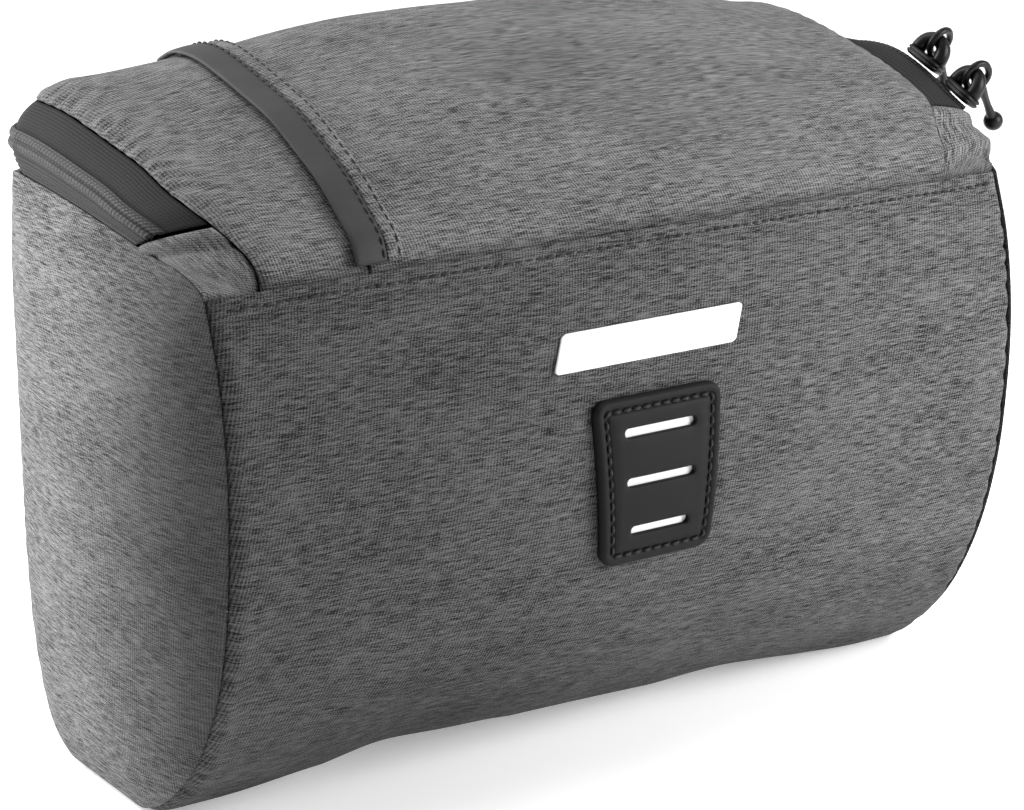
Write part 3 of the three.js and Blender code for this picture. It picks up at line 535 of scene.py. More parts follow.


# %% [markdown]
# ## Heather cloth
# The cloth is a twill of mixed light and dark grey yarns. From a distance it reads as short streaks along the
# bag; close up there are fine ribs across them. One function makes it in three strengths: the ends and the lid
# are paler than the front. Streaks are stretched noise and the yarns are a fine grid. Shade is also painted
# into
# the colour: the front darkens towards its left seam, and the ends darken towards their front seam.


# %% Heather cloth as a formula
def heather(name, dark, light, contrast, fade):
    """Heather twill: streaks along the first coordinate and ribs across it. fade is painted shade: where along
    the first coordinate the colour starts to darken, where it is darkest, and by what share."""
    shader = Shader(name, Roughness=0.92, Specular_IOR_Level=0.08)
    along, across = shader.axes()
    streak = shader.noise(shader.place((0.24, 4.4, 1)), 1.0, 3.0, 0.62)
    slub = shader.noise(shader.place((0.1, 1.3, 1)), 1.0, 2.0, 0.5)
    broad = shader.noise(shader.place((0.02, 0.06, 1)), 1.0, 2.0, 0.5)
    yarn_wobble = shader.noise(shader.place((0.5, 0.5, 1)), 1.0, 1.0) * 0.9
    weft = (across * 8.4 + yarn_wobble).sine() * 0.5 + 0.5
    warp = (along * 7.6 + across * 1.6 + yarn_wobble).sine() * 0.5 + 0.5
    grain = shader.noise(shader.place((2.6, 4.2, 1)), 1.0, 2.0, 0.7)
    shade = (streak - 0.5) * 2.3 + (slub - 0.5) * 0.8 + (grain - 0.5) * 2.0 + (warp - 0.5) * 0.3
    shade = (shade * contrast + (broad - 0.5) * 0.9) * 0.5 + 0.5
    # Painted shade: the lighter yarns' share is cut towards one end of the first coordinate, darkening the
    # colour there.
    full, darkest_at, share = fade
    painted_shade_factor = 1 - (along * -1.0).step(-full, -darkest_at) * share
    colour = shader.mix(shade.step(0.02, 0.98) * painted_shade_factor, grey(dark), grey(light))
    height = weft * 0.35 + warp * 0.3 + streak * 0.35 + grain * 0.45
    normal = shader.bump(height, 0.55, 0.00028)
    return shader.feed(Base_Color=colour, Normal=normal)


# The last tuple of each is painted shade: the front darkens towards its left seam, the ends towards their front
# seam, and the lid, with a share of 0, gets none.
heather_front = heather("heather_front", 0.008, 0.155, 2.5, (234.0, 0.0, 0.4))
heather_lid = heather("heather_lid", 0.02, 0.2, 2.4, (60.0, 0.0, 0.0))
heather_end = heather("heather_end", 0.015, 0.25, 2.2, (10.0, -66.0, 0.8))
print("materials:", [m.name for m in bpy.data.materials])


# %% [markdown]
# ## Straps, tapes and threads
# The strap across the lid is a smooth fine twill, the zip's tape is woven in narrow lengthwise cords, and the
# thread is dark and twisted. Each gets its own small formula at its own scale.


# %% Smooth strap, tape, thread
def smooth_strap():
    shader = Shader("smooth_strap", Roughness=0.62, Specular_IOR_Level=0.16)
    along, across = shader.axes()
    twill = ((along * 9.0 + across * 9.0)).sine() * 0.5 + 0.5
    cloud = shader.noise(shader.place((0.1, 0.1, 1)), 1.0, 2.0)
    grain = shader.noise(shader.place((3, 3, 1)), 1.0, 1.0)
    colour = shader.mix(cloud * 0.6 + grain * 0.4, grey(0.02), grey(0.045))
    normal = shader.bump(twill * 0.7 + grain * 0.5, 0.3, 0.00015)
    return shader.feed(Base_Color=colour, Normal=normal)


def zip_tape(name, dark, light):
    shader = Shader(name, Roughness=0.8, Specular_IOR_Level=0.1)
    along, across = shader.axes()
    chevron = (along * 4.6 + (across * 3.4).sine() * 0.9).sine() * 0.5 + 0.5
    grain = shader.noise(shader.place((1.4, 3.5, 1)), 1.0, 2.0)
    lines = (across * 7.0).sine() * 0.5 + 0.5
    colour = shader.mix(grain * 0.55 + lines * 0.35 + chevron * 0.1, grey(dark), grey(light))
    normal = shader.bump(lines * 0.7 + chevron * 0.2 + grain * 0.4, 0.5, 0.0003)
    return shader.feed(Base_Color=colour, Normal=normal)


def twisted_thread(name, level):
    shader = Shader(name, Roughness=0.7, Specular_IOR_Level=0.35)
    along, across = shader.axes()
    twist = ((along * 7.0 + across * 6.2832)).sine() * 0.5 + 0.5
    colour = shader.mix(twist, grey(level * 0.6), grey(level * 1.4))
    return shader.feed(Base_Color=colour, Normal=shader.bump(twist, 0.6, 0.0001))


strap_finish = smooth_strap()
ribbed_tape, smooth_tape = zip_tape("zip_tape_ribbed", 0.01, 0.07), zip_tape("zip_tape_smooth", 0.008, 0.03)
thread_finish = twisted_thread("dark_thread", 0.012)


# %% Webbing, rubber, film, metal and coil
def webbing():
    shader = Shader("webbing", Roughness=0.85, Specular_IOR_Level=0.2)
    along, across = shader.axes()
    ribs = (across * 3.1).sine() * 0.5 + 0.5
    picks = (along * 5.2 + (across * 3.1).sine() * 1.4).sine() * 0.5 + 0.5
    grain = shader.noise(shader.place((2, 2, 1)), 1.0, 2.0)
    colour = shader.mix(picks * 0.5 + grain * 0.5, grey(0.012), grey(0.04))
    return shader.feed(Base_Color=colour, Normal=shader.bump(ribs * 0.7 + picks * 0.6, 0.6, 0.0004))


def patch_rubber():
    shader = Shader("patch_rubber", Specular_IOR_Level=0.14)
    fine = shader.noise(shader.place((5, 5, 1)), 1.0, 3.0, 0.6)
    smear = shader.noise(shader.place((0.15, 0.2, 1)), 1.0, 3.0, 0.6)
    colour = shader.mix(smear * 0.7 + fine * 0.3, grey(0.003), grey(0.01))
    rough = 0.5 + 0.22 * smear
    return shader.feed(Base_Color=colour, Roughness=rough, Normal=shader.bump(fine, 0.35, 0.0001))


def reflective_film(name, level, wear):
    shader = Shader(name, Specular_IOR_Level=0.45)
    specks = shader.noise(shader.place((2.2, 2.2, 1)), 1.0, 3.0, 0.7)
    scuff = shader.noise(shader.place((0.5, 1.6, 1)), 1.0, 3.0, 0.7)
    worn = scuff.step(0.66, 0.74) * wear
    colour = shader.mix(specks * 0.25 + worn, grey(level), grey(level * 0.55))
    rough = 0.38 + 0.2 * specks
    return shader.feed(Base_Color=colour, Roughness=rough, Normal=shader.bump(specks, 0.25, 0.0001))


def black_metal():
    shader = Shader("black_metal", Specular_IOR_Level=0.16)
    cloud = shader.noise(shader.place((0.6, 0.6, 1)), 1.0, 3.0)
    colour = shader.mix(cloud, grey(0.003), grey(0.008))
    rough = 0.3 + 0.16 * cloud
    return shader.feed(Base_Color=colour, Roughness=rough, Normal=shader.bump(cloud, 0.15, 0.0001))


def coil_nylon():
    shader = Shader("coil_nylon", Roughness=0.6, Specular_IOR_Level=0.15)
    along, across = shader.axes()
    weave = (along * 4.33 + across.absolute() * 2.2).sine() * 0.5 + 0.5
    cloud = shader.noise(shader.place((0.8, 1.6, 1)), 1.0, 2.0)
    colour = shader.mix(weave * 0.5 + cloud * 0.5, grey(0.008), grey(0.04))
    return shader.feed(Base_Color=colour, Normal=shader.bump(weave, 0.4, 0.0002))


webbing_finish, rubber_finish = webbing(), patch_rubber()
metal_finish, coil_finish = black_metal(), coil_nylon()
label_finish = reflective_film("label_film", 0.82, 0.0)
insert_finish = reflective_film("insert_film", 0.88, 0.3)

# %% [markdown]
# ## Mesh helpers
# Almost every piece here is a sheet of cloth with a real thickness. The main helper takes a grid of points for
# its outer face, moves a copy inwards along the normals, and closes the edges with a rounded rim. It also
# writes the cloth's own coordinates, in millimetres, which the weaves read.


# %% Grids into closed sheets
def grid_normals(grid):
    """Unit normals of a grid of points, pointing to the side that (rows x columns) gives."""
    down, right = np.gradient(grid, axis=0), np.gradient(grid, axis=1)
    normal = np.cross(right, down)
    return normal / np.maximum(np.linalg.norm(normal, axis=-1, keepdims=True), 1e-12)


def soft_noise(points, size, seed, waves=14):
    """Smooth repeatable unevenness of about -1 to 1, with bumps of a given size."""
    rng = np.random.default_rng(seed)
    total = np.zeros(points.shape[:-1])
    for _ in range(waves):
        direction = rng.normal(size=3)
        direction *= (2 * np.pi / size) * rng.uniform(0.6, 1.4) / np.linalg.norm(direction)
        total += np.sin(points @ direction + rng.uniform(0, 2 * np.pi))
    return total / math.sqrt(waves) / 1.2


def flat_lengths(grid):
    """Lengths in millimetres along the rows and down the columns of a grid, from its middle lines."""
    middle_row, middle_col = grid[grid.shape[0] // 2], grid[:, grid.shape[1] // 2]
    u = np.concatenate([[0], np.cumsum(np.linalg.norm(np.diff(middle_row, axis=0), axis=1))]) / MM
    v = np.concatenate([[0], np.cumsum(np.linalg.norm(np.diff(middle_col, axis=0), axis=1))]) / MM
    return np.broadcast_arrays(u[None, :], v[:, None])


def new_piece(name, vertices, faces, finish, flat=None, body="bag", smooth=True):
    """A mesh object with smooth faces, its own coordinates in a UV layer, riding on a body."""
    mesh = bpy.data.meshes.new(name)
    mesh.from_pydata([tuple(v) for v in vertices], [], faces)
    mesh.validate()
    if flat is not None:
        layer = mesh.uv_layers.new(name="cloth")
        corner_vertex = np.empty(len(mesh.loops), np.int32)
        mesh.loops.foreach_get("vertex_index", corner_vertex)
        layer.data.foreach_set("uv", np.asarray(flat, np.float32)[corner_vertex].ravel())
    mesh.polygons.foreach_set("use_smooth", [smooth] * len(mesh.polygons))
    mesh.materials.append(finish)
    piece = bpy.data.objects.new(name, mesh)
    bpy.context.scene.collection.objects.link(piece)
    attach(piece, body)
    return piece


def closed_sheet(name, grid, thickness, finish, flat=None, rim=True, body="bag", outward=None):
    """A closed sheet from the grid of its outer face. outward is a point that the inner face lies towards."""
    grid = np.asarray(grid, float)
    normals = grid_normals(grid)
    if outward is not None:
        middle = grid[grid.shape[0] // 2, grid.shape[1] // 2]
        if np.dot(normals[grid.shape[0] // 2, grid.shape[1] // 2], middle - np.asarray(outward)) < 0:
            grid = grid[:, ::-1]
            normals = grid_normals(grid)
            if flat is not None:
                flat = (flat[0][:, ::-1], flat[1][:, ::-1])
    rows, cols = grid.shape[:2]
    u, v = flat_lengths(grid) if flat is None else flat
    layers = [grid, grid - normals * thickness]
    vertices = np.vstack([layer.reshape(-1, 3) for layer in layers])
    uv = np.vstack([np.stack([u.ravel(), v.ravel()], axis=1)] * 2)
    index = np.arange(rows * cols).reshape(rows, cols)
    inner = index + rows * cols
    faces = []
    for r in range(rows - 1):
        for c in range(cols - 1):
            faces.append((index[r, c], index[r, c + 1], index[r + 1, c + 1], index[r + 1, c])[::-1])
            faces.append((inner[r, c], inner[r, c + 1], inner[r + 1, c + 1], inner[r + 1, c]))
    for c in range(cols - 1):
        faces.append((index[0, c], index[0, c + 1], inner[0, c + 1], inner[0, c]))
        faces.append((index[-1, c + 1], index[-1, c], inner[-1, c], inner[-1, c + 1]))
    for r in range(rows - 1):
        faces.append((index[r + 1, 0], index[r, 0], inner[r, 0], inner[r + 1, 0]))
        faces.append((index[r, -1], index[r + 1, -1], inner[r + 1, -1], inner[r, -1]))
    piece = new_piece(name, vertices, [tuple(int(i) for i in f) for f in faces], finish, uv, body)
    return piece


def turn_out(piece):
    """Turns the faces of a closed mesh to point out."""
    mesh = bmesh.new()
    mesh.from_mesh(piece.data)
    bmesh.ops.recalc_face_normals(mesh, faces=mesh.faces)
    mesh.to_mesh(piece.data)
    mesh.free()
    return piece


# %% Tubes and stitches
def tube(path, radius, sides=10, closed=False, flatten=None):
    """Vertices, faces and flat coordinates of a round tube along a path of points."""
    path = np.asarray(path, float)
    count = len(path)
    radii = np.broadcast_to(np.asarray(radius, float), (count,))
    tangents = (np.roll(path, -1, 0) - np.roll(path, 1, 0)) if closed else np.gradient(path, axis=0)
    tangents /= np.linalg.norm(tangents, axis=1, keepdims=True)
    helper = np.array([0, 0, 1.0]) if abs(tangents[0][2]) < 0.9 else np.array([1.0, 0, 0])
    side = np.cross(tangents[0], helper)
    side /= np.linalg.norm(side)
    vertices, flat = [], []
    lengths = np.concatenate([[0], np.cumsum(np.linalg.norm(np.diff(path, axis=0), axis=1))]) / MM
    for i in range(count):
        side = side - tangents[i] * np.dot(side, tangents[i])
        side /= np.linalg.norm(side)
        up = np.cross(tangents[i], side)
        for k in range(sides):
            a = 2 * math.pi * k / sides
            vertices.append(path[i] + radii[i] * (math.cos(a) * side + math.sin(a) * up))
            flat.append((lengths[i], k / sides))
    faces = []
    for i in range(count if closed else count - 1):
        j = (i + 1) % count
        for k in range(sides):
            n = (k + 1) % sides
            faces.append((i * sides + k, i * sides + n, j * sides + n, j * sides + k))
    if not closed:
        faces.append(tuple(range(sides))[::-1])
        faces.append(tuple((count - 1) * sides + k for k in range(sides)))
    return vertices, faces, flat


def joined(parts):
    """Several (vertices, faces, flat) as one."""
    vertices, faces, flat = [], [], []
    for v, f, u in parts:
        start = len(vertices)
        vertices.extend(v)
        faces.extend(tuple(i + start for i in face) for face in f)
        flat.extend(u)
    return vertices, faces, flat


stitch_steps, stitch_ends, stitch_rise = 6, (0.08, 0.92), 1.3
stitch_end, stitch_swell = 0.55, 0.45


def stitch_row(name, path, normals, pitch, fill=0.7, radius=0.22 * MM, sink=0.1 * MM, body="bag", finish=None):
    """A row of stitches along a path that lies on a face: each is a short arched thread."""
    path, normals = np.asarray(path, float), np.asarray(normals, float)
    lengths = np.concatenate([[0], np.cumsum(np.linalg.norm(np.diff(path, axis=0), axis=1))])
    count = max(1, int(lengths[-1] / pitch))
    step = lengths[-1] / count
    parts = []
    for i in range(count):
        middle = (i + 0.5) * step
        at = middle + np.linspace(-0.5, 0.5, stitch_steps) * step * fill
        points = np.stack([np.interp(at, lengths, path[:, k]) for k in range(3)], axis=1)
        out = np.stack([np.interp(at, lengths, normals[:, k]) for k in range(3)], axis=1)
        arch = np.sin(np.linspace(*stitch_ends, stitch_steps) * math.pi)
        points += out * (arch[:, None] * radius * stitch_rise - sink)
        parts.append(tube(points, radius * (stitch_end + stitch_swell * arch), 6))
    vertices, faces, flat = joined(parts)
    return turn_out(new_piece(name, vertices, faces, finish or thread_finish, flat, body))


# %% [markdown]
# ## The wrapped body
# One strip of padded cloth runs from the folded hem down the front, under the bag and up to the back panel's
# lower seam. It is lofted from the side outline, then softened: slow unevenness, small gathers where the end
# seams pull it in, and a folded hem with a row of stitches that draws a shallow groove along it.


# %% The front cloth
def along_spacing(start, end, count, fine_to=None, fine=0):
    """Lengths along the outline, closer together up to fine_to."""
    if fine_to is None:
        return np.linspace(start, end, count)
    return np.concatenate([np.linspace(start, fine_to, fine, endpoint=False), np.linspace(fine_to, end, count)])


stitch_drop = 3.0 * MM
stitch_pitch = 2.9 * MM


def side_places(fine_width=7 * MM, fine=12, count=90):
    """Places along the bag, closer together near its two end seams."""
    edge = np.linspace(0, fine_width, fine, endpoint=False)
    middle = np.linspace(-half_length + fine_width, half_length - fine_width, count)
    return np.concatenate([-half_length + edge, middle, (half_length - edge)[::-1]])


def cloth_softness(points, normals, x, seed, amount=1.0):
    """Moves cloth along its normals: slow unevenness and gathers that fade away from the end seams."""
    from_seam = half_length - np.abs(x)
    waves = np.sin(points[..., 2] / (1.15 * MM) + 2.2 * soft_noise(points, 0.03, seed + 5))
    gathers = np.exp(-from_seam / (6 * MM)) * waves
    slow = soft_noise(points, 0.085, seed) * 0.55 * MM + soft_noise(points, 0.035, seed + 1) * 0.16 * MM
    held = ramp(from_seam, 0, 9 * MM)
    return points + normals * (amount * (slow * held + gathers * 0.22 * MM))[..., None]


def front_cloth():
    alongs = along_spacing(0, back_seam_along - gap / 2, 150, hem_width + 3 * MM, 26)
    places = side_places()
    along, x = np.meshgrid(alongs, places, indexing="ij")
    points = body_point(along, x)
    normals = grid_normals(points)
    if normals[10, 50, 1] > 0:
        normals = -normals
    moved = cloth_softness(points, normals, x, 11, 2.6)
    slack = np.minimum(np.einsum("ijk,ijk->ij", moved - points, normals), 0.1 * MM)
    points = points + normals * (slack * ramp(along, 6 * MM, 18 * MM))[..., None]
    hem_end = 1 - ramp(along, hem_width - 0.6 * MM, hem_width + 1.6 * MM)
    hem = hem_proud * hem_end * ramp(along, -0.8 * MM, 1.0 * MM)
    stitch = np.exp(-(((along - stitch_drop) / (0.55 * MM)) ** 2))
    pulled = 0.55 + 0.45 * np.cos(2 * np.pi * x / stitch_pitch)
    ease = ramp(np.abs(half_length - np.abs(x)), 0, 4 * MM)
    hollow = 0.35 * MM * np.exp(-(((along - hem_width - 1.6 * MM) / (1.6 * MM)) ** 2))
    groove = 0.9 * MM * np.exp(-(half_length - np.abs(x)) / (1.4 * MM))
    points -= normals * groove[..., None]
    points += normals * ((hem - stitch * 0.42 * MM * pulled - hollow) * ease)[..., None]
    points[..., 2] = np.maximum(points[..., 2], 0.0)
    flat = ((x + half_length) / MM, along / MM)
    inside = (middle_x, 0, hem_height / 2)
    piece = closed_sheet("front_cloth", points, wall, heather_front, flat, outward=inside)
    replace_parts(piece, "front_panel")
    return piece


front = front_cloth()
print("front cloth:", len(front.data.polygons), "faces")


# %% The hem's stitches
def face_path(alongs, xs):
    """Points and outward normals on the front along a path."""
    alongs, xs = np.broadcast_arrays(np.asarray(alongs, float), np.asarray(xs, float))
    here = body_point(alongs, xs)
    down = body_point(alongs + 0.5 * MM, xs) - body_point(alongs - 0.5 * MM, xs)
    normal = np.cross(down, np.array([1.0, 0, 0]))
    normal /= np.linalg.norm(normal, axis=-1, keepdims=True)
    if normal[len(normal) // 2][1] > 0:
        normal = -normal
    return here, normal


hem_x = np.linspace(-half_length + 4 * MM, half_length - 4 * MM, 160)
hem_path, hem_normals = face_path(stitch_drop, hem_x)
hem_seat = hem_path + hem_normals * 0.28 * MM
hem_stitches = stitch_row("hem_stitches", hem_seat, hem_normals, stitch_pitch, 0.72, 0.3 * MM)

# %% [markdown]
# ## The back panel
# The back is a plain padded sheet that meets the wrap low down and stands up to the zip. It is out of the
# photograph's sight, so it is finished plainly, with the same cloth and the same soft unevenness.


# %% The back cloth
def back_cloth():
    alongs = np.linspace(back_seam_along + gap / 2, outline_length, 70)
    along, x = np.meshgrid(alongs, side_places(), indexing="ij")
    points = body_point(along, x)
    normals = grid_normals(points)
    if normals[30, 50, 1] < 0:
        normals = -normals
    points = cloth_softness(points, normals, x, 23, 0.45)
    low_edge = np.exp(-(along - alongs[0]) / (1.4 * MM)) + np.exp(-(alongs[-1] - along) / (1.4 * MM))
    points -= normals * (0.5 * MM * low_edge)[..., None]
    flat = ((x + half_length) / MM, along / MM)
    # The back shares the front's cloth, and with it the painted shade that darkens towards the left seam.
    piece = closed_sheet("back_cloth", points, wall, heather_front, flat, outward=(middle_x, 0, hem_height / 2))
    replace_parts(piece, "back_panel")
    return piece


back = back_cloth()
seam_x = np.linspace(-half_length + 5 * MM, half_length - 5 * MM, 120)


def back_path(along, lift):
    here = body_point(along, seam_x)
    normal = np.tile([0.0, 1.0, 0.0], (len(seam_x), 1))
    return here + normal * lift, normal


back_rows = {"back_seam_stitches": 2.6 * MM, "back_top_stitches": outline_length - back_seam_along - 3 * MM}
for name, drop in back_rows.items():
    path, out = back_path(back_seam_along + drop, 0.12 * MM)
    row = stitch_row(name, path, out, stitch_pitch, 0.7, 0.26 * MM)

# %% [markdown]
# ## The domed ends
# Each end is a padded oval sewn in all round. Its rim is held by the seam and its middle swells out, so it is
# built as rings that shrink towards the middle. Gathers run in from the rim, evenly all round.


# %% End rims
def end_rim(side, count):
    round_rim = body_point(np.linspace(0, outline_length, count), side * half_length)[:, 1:]
    share = np.linspace(1, 0, 50)[1:-1]
    y = hem_depth + seam_roll + share * (back_top_depth - hem_depth - 2 * seam_roll)
    top = np.stack([y + outline_start_y, end_top_height(y)], axis=1)
    rim = np.vstack([round_rim, top])
    closed = np.vstack([rim, rim[:1]])
    lengths = np.concatenate([[0], np.cumsum(np.linalg.norm(np.diff(closed, axis=0), axis=1))])
    even = np.linspace(0, lengths[-1], 361)[:-1]
    return np.stack([np.interp(even, lengths, closed[:, k]) for k in range(2)], axis=1)


def end_cloth(side):
    rim = end_rim(side, 300)
    middle = (rim.min(0) + rim.max(0)) / 2
    shares = np.concatenate([[1.0, 0.997, 0.992, 0.985, 0.975, 0.962, 0.945], np.linspace(0.925, 0.06, 34)])

    def rings(inward):
        made = []
        for share in shares:
            reach = rim - middle
            size = np.linalg.norm(reach, axis=1, keepdims=True)
            place = middle + reach * (1 - inward / size) * share
            swell = (end_dome - inward) * (1 - share**2.4) ** 0.85
            x = np.full(len(rim), side * (half_length + gap + swell) + middle_x)
            made.append(np.column_stack([x, place]))
        return np.array(made)

    outer, inner = rings(0.0), rings(wall)
    around = np.arange(len(rim)) / len(rim) * 2 * np.pi
    depth_in = (1 - shares)[:, None] * 55 * MM
    waves = np.sin(around * 58 + 2.4 * np.sin(around * 7 + side))
    gathers = waves * np.exp(-depth_in / (5.5 * MM)) * ramp(depth_in, 0, 1.2 * MM)
    slow = soft_noise(outer, 0.06, 31 + side) * 0.55 * MM * ramp(depth_in, 0, 12 * MM)
    outer[..., 0] += side * (gathers * 0.13 * MM + slow)
    count = len(rim)
    faces, rows = [], len(shares)
    centres = [outer[-1].mean(0)[None], inner[-1].mean(0)[None]]
    vertices = np.vstack([outer.reshape(-1, 3), inner.reshape(-1, 3), *centres])
    at = np.arange(2 * rows * count).reshape(2, rows, count)
    middles = (2 * rows * count, 2 * rows * count + 1)
    for face in range(2):
        for r in range(rows - 1):
            for c in range(count):
                n = (c + 1) % count
                faces.append((at[face, r, c], at[face, r, n], at[face, r + 1, n], at[face, r + 1, c]))
        faces.extend((at[face, -1, c], at[face, -1, (c + 1) % count], middles[face]) for c in range(count))
    for c in range(count):
        n = (c + 1) % count
        faces.append((at[0, 0, c], at[1, 0, c], at[1, 0, n], at[0, 0, n]))
    flat = vertices[:, 1:] / MM
    name = "end_cloth_right" if side > 0 else "end_cloth_left"
    piece = new_piece(name, vertices, [tuple(int(i) for i in f) for f in faces], heather_end, flat)
    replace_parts(turn_out(piece), "end_panel_right" if side > 0 else "end_panel_left")
    return piece


ends = [end_cloth(-1), end_cloth(1)]
print("end cloth:", len(ends[0].data.polygons), "faces each")

# %% [markdown]
# ## The lid
# The lid is hinged at the hem, arches over the bag, and is sewn to the zip at both ends and behind. The left
# part and the long right part meet under the smooth strap. The zip's seam gathers the cloth into short pleats.


# %% Lid cloths
band_from_left_seam = 39 * MM
band_width = 8.6 * MM
band_left = -half_length + band_from_left_seam
band_right = band_left + band_width
lid_seam = (band_left + band_right) / 2
lid_lengths_at = np.linspace(0, 1, 400)
lid_profile = lid_point(0.0, lid_lengths_at)[0]
lid_profile_lengths = np.concatenate([[0], np.cumsum(np.linalg.norm(np.diff(lid_profile, axis=0), axis=1))])


def lid_alongs(start=0.0, count=96):
    """Shares of the way along the lid at even lengths over its crown."""
    lengths = np.linspace(np.interp(start, lid_lengths_at, lid_profile_lengths), lid_profile_lengths[-1], count)
    return np.interp(lengths, lid_profile_lengths, lid_lengths_at)


def lid_cloth(name, node, left_at, right_at, columns, seed):
    alongs = lid_alongs()
    t = np.linspace(0, 1, columns)
    t = t - 0.09 * np.sin(2 * np.pi * t)
    x = np.array([left_at(a) + (right_at(a) - left_at(a)) * t for a in alongs])
    along = np.repeat(alongs[:, None], columns, axis=1)
    points, normals = lid_point(x, along)
    to_seam = lid_half_length(along) - np.abs(x)
    to_back = (1 - along) * lid_depth
    length = np.interp(along, lid_lengths_at, lid_profile_lengths)
    pleats = np.sin(length / (0.95 * MM) + 2.5 * soft_noise(points, 0.02, seed))
    pleats *= np.where(x < 0, 1.0, 0.3) * np.exp(-to_seam / (7 * MM))
    pleats *= ramp(to_seam, 0, 1.5 * MM) * ramp(along, 0.15, 0.5)
    roll = -1.3 * MM * (np.exp(-to_seam / (1.6 * MM)) + np.exp(-to_back / (1.6 * MM)))
    puff = 0.9 * MM * np.exp(-(((to_seam - 9 * MM) / (6 * MM)) ** 2)) * ramp(along, 0.1, 0.4)
    slow = soft_noise(points, 0.07, seed + 2) * 0.6 * MM + soft_noise(points, 0.03, seed + 3) * 0.2 * MM
    slow *= ramp(to_seam, 0, 10 * MM) * ramp(along, 0, 0.12)
    points = points + normals * (pleats * 0.5 * MM + roll + puff + slow)[..., None]
    flat = ((x + half_length) / MM, length / MM)
    piece = closed_sheet(name, points, lid_wall, heather_lid, flat, outward=(middle_x, 0, 0))
    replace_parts(piece, node)
    return piece


lid_cloth(
    "lid_cloth_left", "lid_panel_left", lambda a: -lid_half_length(a), lambda a: lid_seam - gap / 2, 44, 41
)
lid_cloth("lid_cloth_right", "lid_panel_right", lambda a: lid_seam + gap / 2, lid_half_length, 150, 47)


# %% The strap over the lid and its folded seam
over_hem = 0.9 / 11


def lid_strip(name, node, x_from, x_to, low, thickness, finish, columns=14, crown=0.25 * MM):
    """A flat strip that lies on the lid, slightly crowned across, with rounded long edges."""
    alongs = lid_alongs(over_hem, 110)
    t = np.linspace(0, 1, columns)
    t = 0.5 - 0.5 * np.cos(np.pi * t)
    x, along = np.meshgrid(x_from + (x_to - x_from) * t, alongs)
    edge = np.minimum(t, 1 - t)[None, :] * (x_to - x_from)
    inwards = np.clip(edge / (0.5 * thickness), 0, 1)
    round_off = -0.5 * thickness * (1 - np.sqrt(np.clip(1 - (1 - inwards) ** 2, 0, 1)))
    base = lid_point(x, along)
    wander = soft_noise(base[0], 0.05, 71) * 0.12 * MM
    height = low + thickness + round_off + crown * np.sin(np.pi * t)[None, :] + wander
    points = base[0] + base[1] * height[..., None]
    length = np.interp(along, lid_lengths_at, lid_profile_lengths)
    piece = closed_sheet(name, points, thickness * 0.9, finish, (x / MM, length / MM), outward=(middle_x, 0, 0))
    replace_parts(piece, node)
    return piece


band = lid_strip("lid_strap", "lid_band", band_left, band_right, gap, 1.5 * MM, strap_finish)
placket = lid_strip(
    "lid_placket_fold", "lid_placket", band_right + gap, band_right + 4.6 * MM,
    gap, 1.0 * MM, heather_lid,
)


def lid_stitches(name, x, lift, pitch, radius=0.26 * MM):
    path, normals = lid_point(np.full(200, x), lid_alongs(over_hem + 0.01, 200)[:200] * 1.0)
    return stitch_row(name, path + normals * lift, normals, pitch, 0.7, radius)


for name, x, lift in (
    ("strap_stitches", band_right - 1.1 * MM, 1.85 * MM),
    ("placket_stitches", band_right + 3.3 * MM, 1.35 * MM),
):
    lid_stitches(name, x, lift, 2.9 * MM)

# %% [markdown]
# ## The zip
# The zip's tape is woven with lengthwise cords, which catch the light as fine lines. The coil lies behind the
# tapes, so what shows is two soft ridges with a groove between them. All three are sheets over one shared
# surface, which is why the zip's two seams and its ridge are worked out first.


# %% Tapes
fine_stations = zip_stations(110, 10, 180)


def zip_grid(stations, acrosses):
    return np.array([zip_points(s, acrosses) for s in stations])


zip_low, zip_high = zip_points(back_station(0.0), [0.0, 1.0])
zip_width = float(np.linalg.norm(zip_low - zip_high))
tape_thickness = 1.2 * MM
tape_half_split = 1.8 * MM / zip_width / 2


def tape_cloth(name, node, start, end, columns, cords, finish):
    acrosses = np.linspace(start, end, columns)
    grid = zip_grid(fine_stations, acrosses)
    normals = -grid_normals(grid)
    share = (acrosses - start) / (end - start)
    ribs = 0.45 * MM * np.abs(np.sin(np.pi * cords * share))
    ribs *= ramp(share, 0.0, 0.04) * (1 - ramp(share, 0.97, 1.0))
    middle = grid.reshape(-1, 3).mean(0)
    way = np.sign(np.einsum("ijk,ijk->ij", normals, grid - middle)).mean()
    normals = normals * (1 if way > 0 else -1)
    grid = grid + normals * (ribs - 0.15 * MM)[None, :, None]
    station_line = grid[:, columns // 2]
    length = np.concatenate([[0], np.cumsum(np.linalg.norm(np.diff(station_line, axis=0), axis=1))])
    flat = np.broadcast_arrays(length[:, None] / MM, (acrosses * zip_width * 1.3)[None, :] / MM)
    piece = closed_sheet(name, grid, tape_thickness * 0.8, finish, flat, outward=tuple(middle))
    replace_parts(piece, node)
    return piece


tape_lower = tape_cloth("tape_lower", "zip_tape_lower", 0.02, ridge_share - tape_half_split, 80, 7, ribbed_tape)
tape_upper = tape_cloth("tape_upper", "zip_tape_upper", ridge_share + tape_half_split, 1.0, 60, 1, smooth_tape)


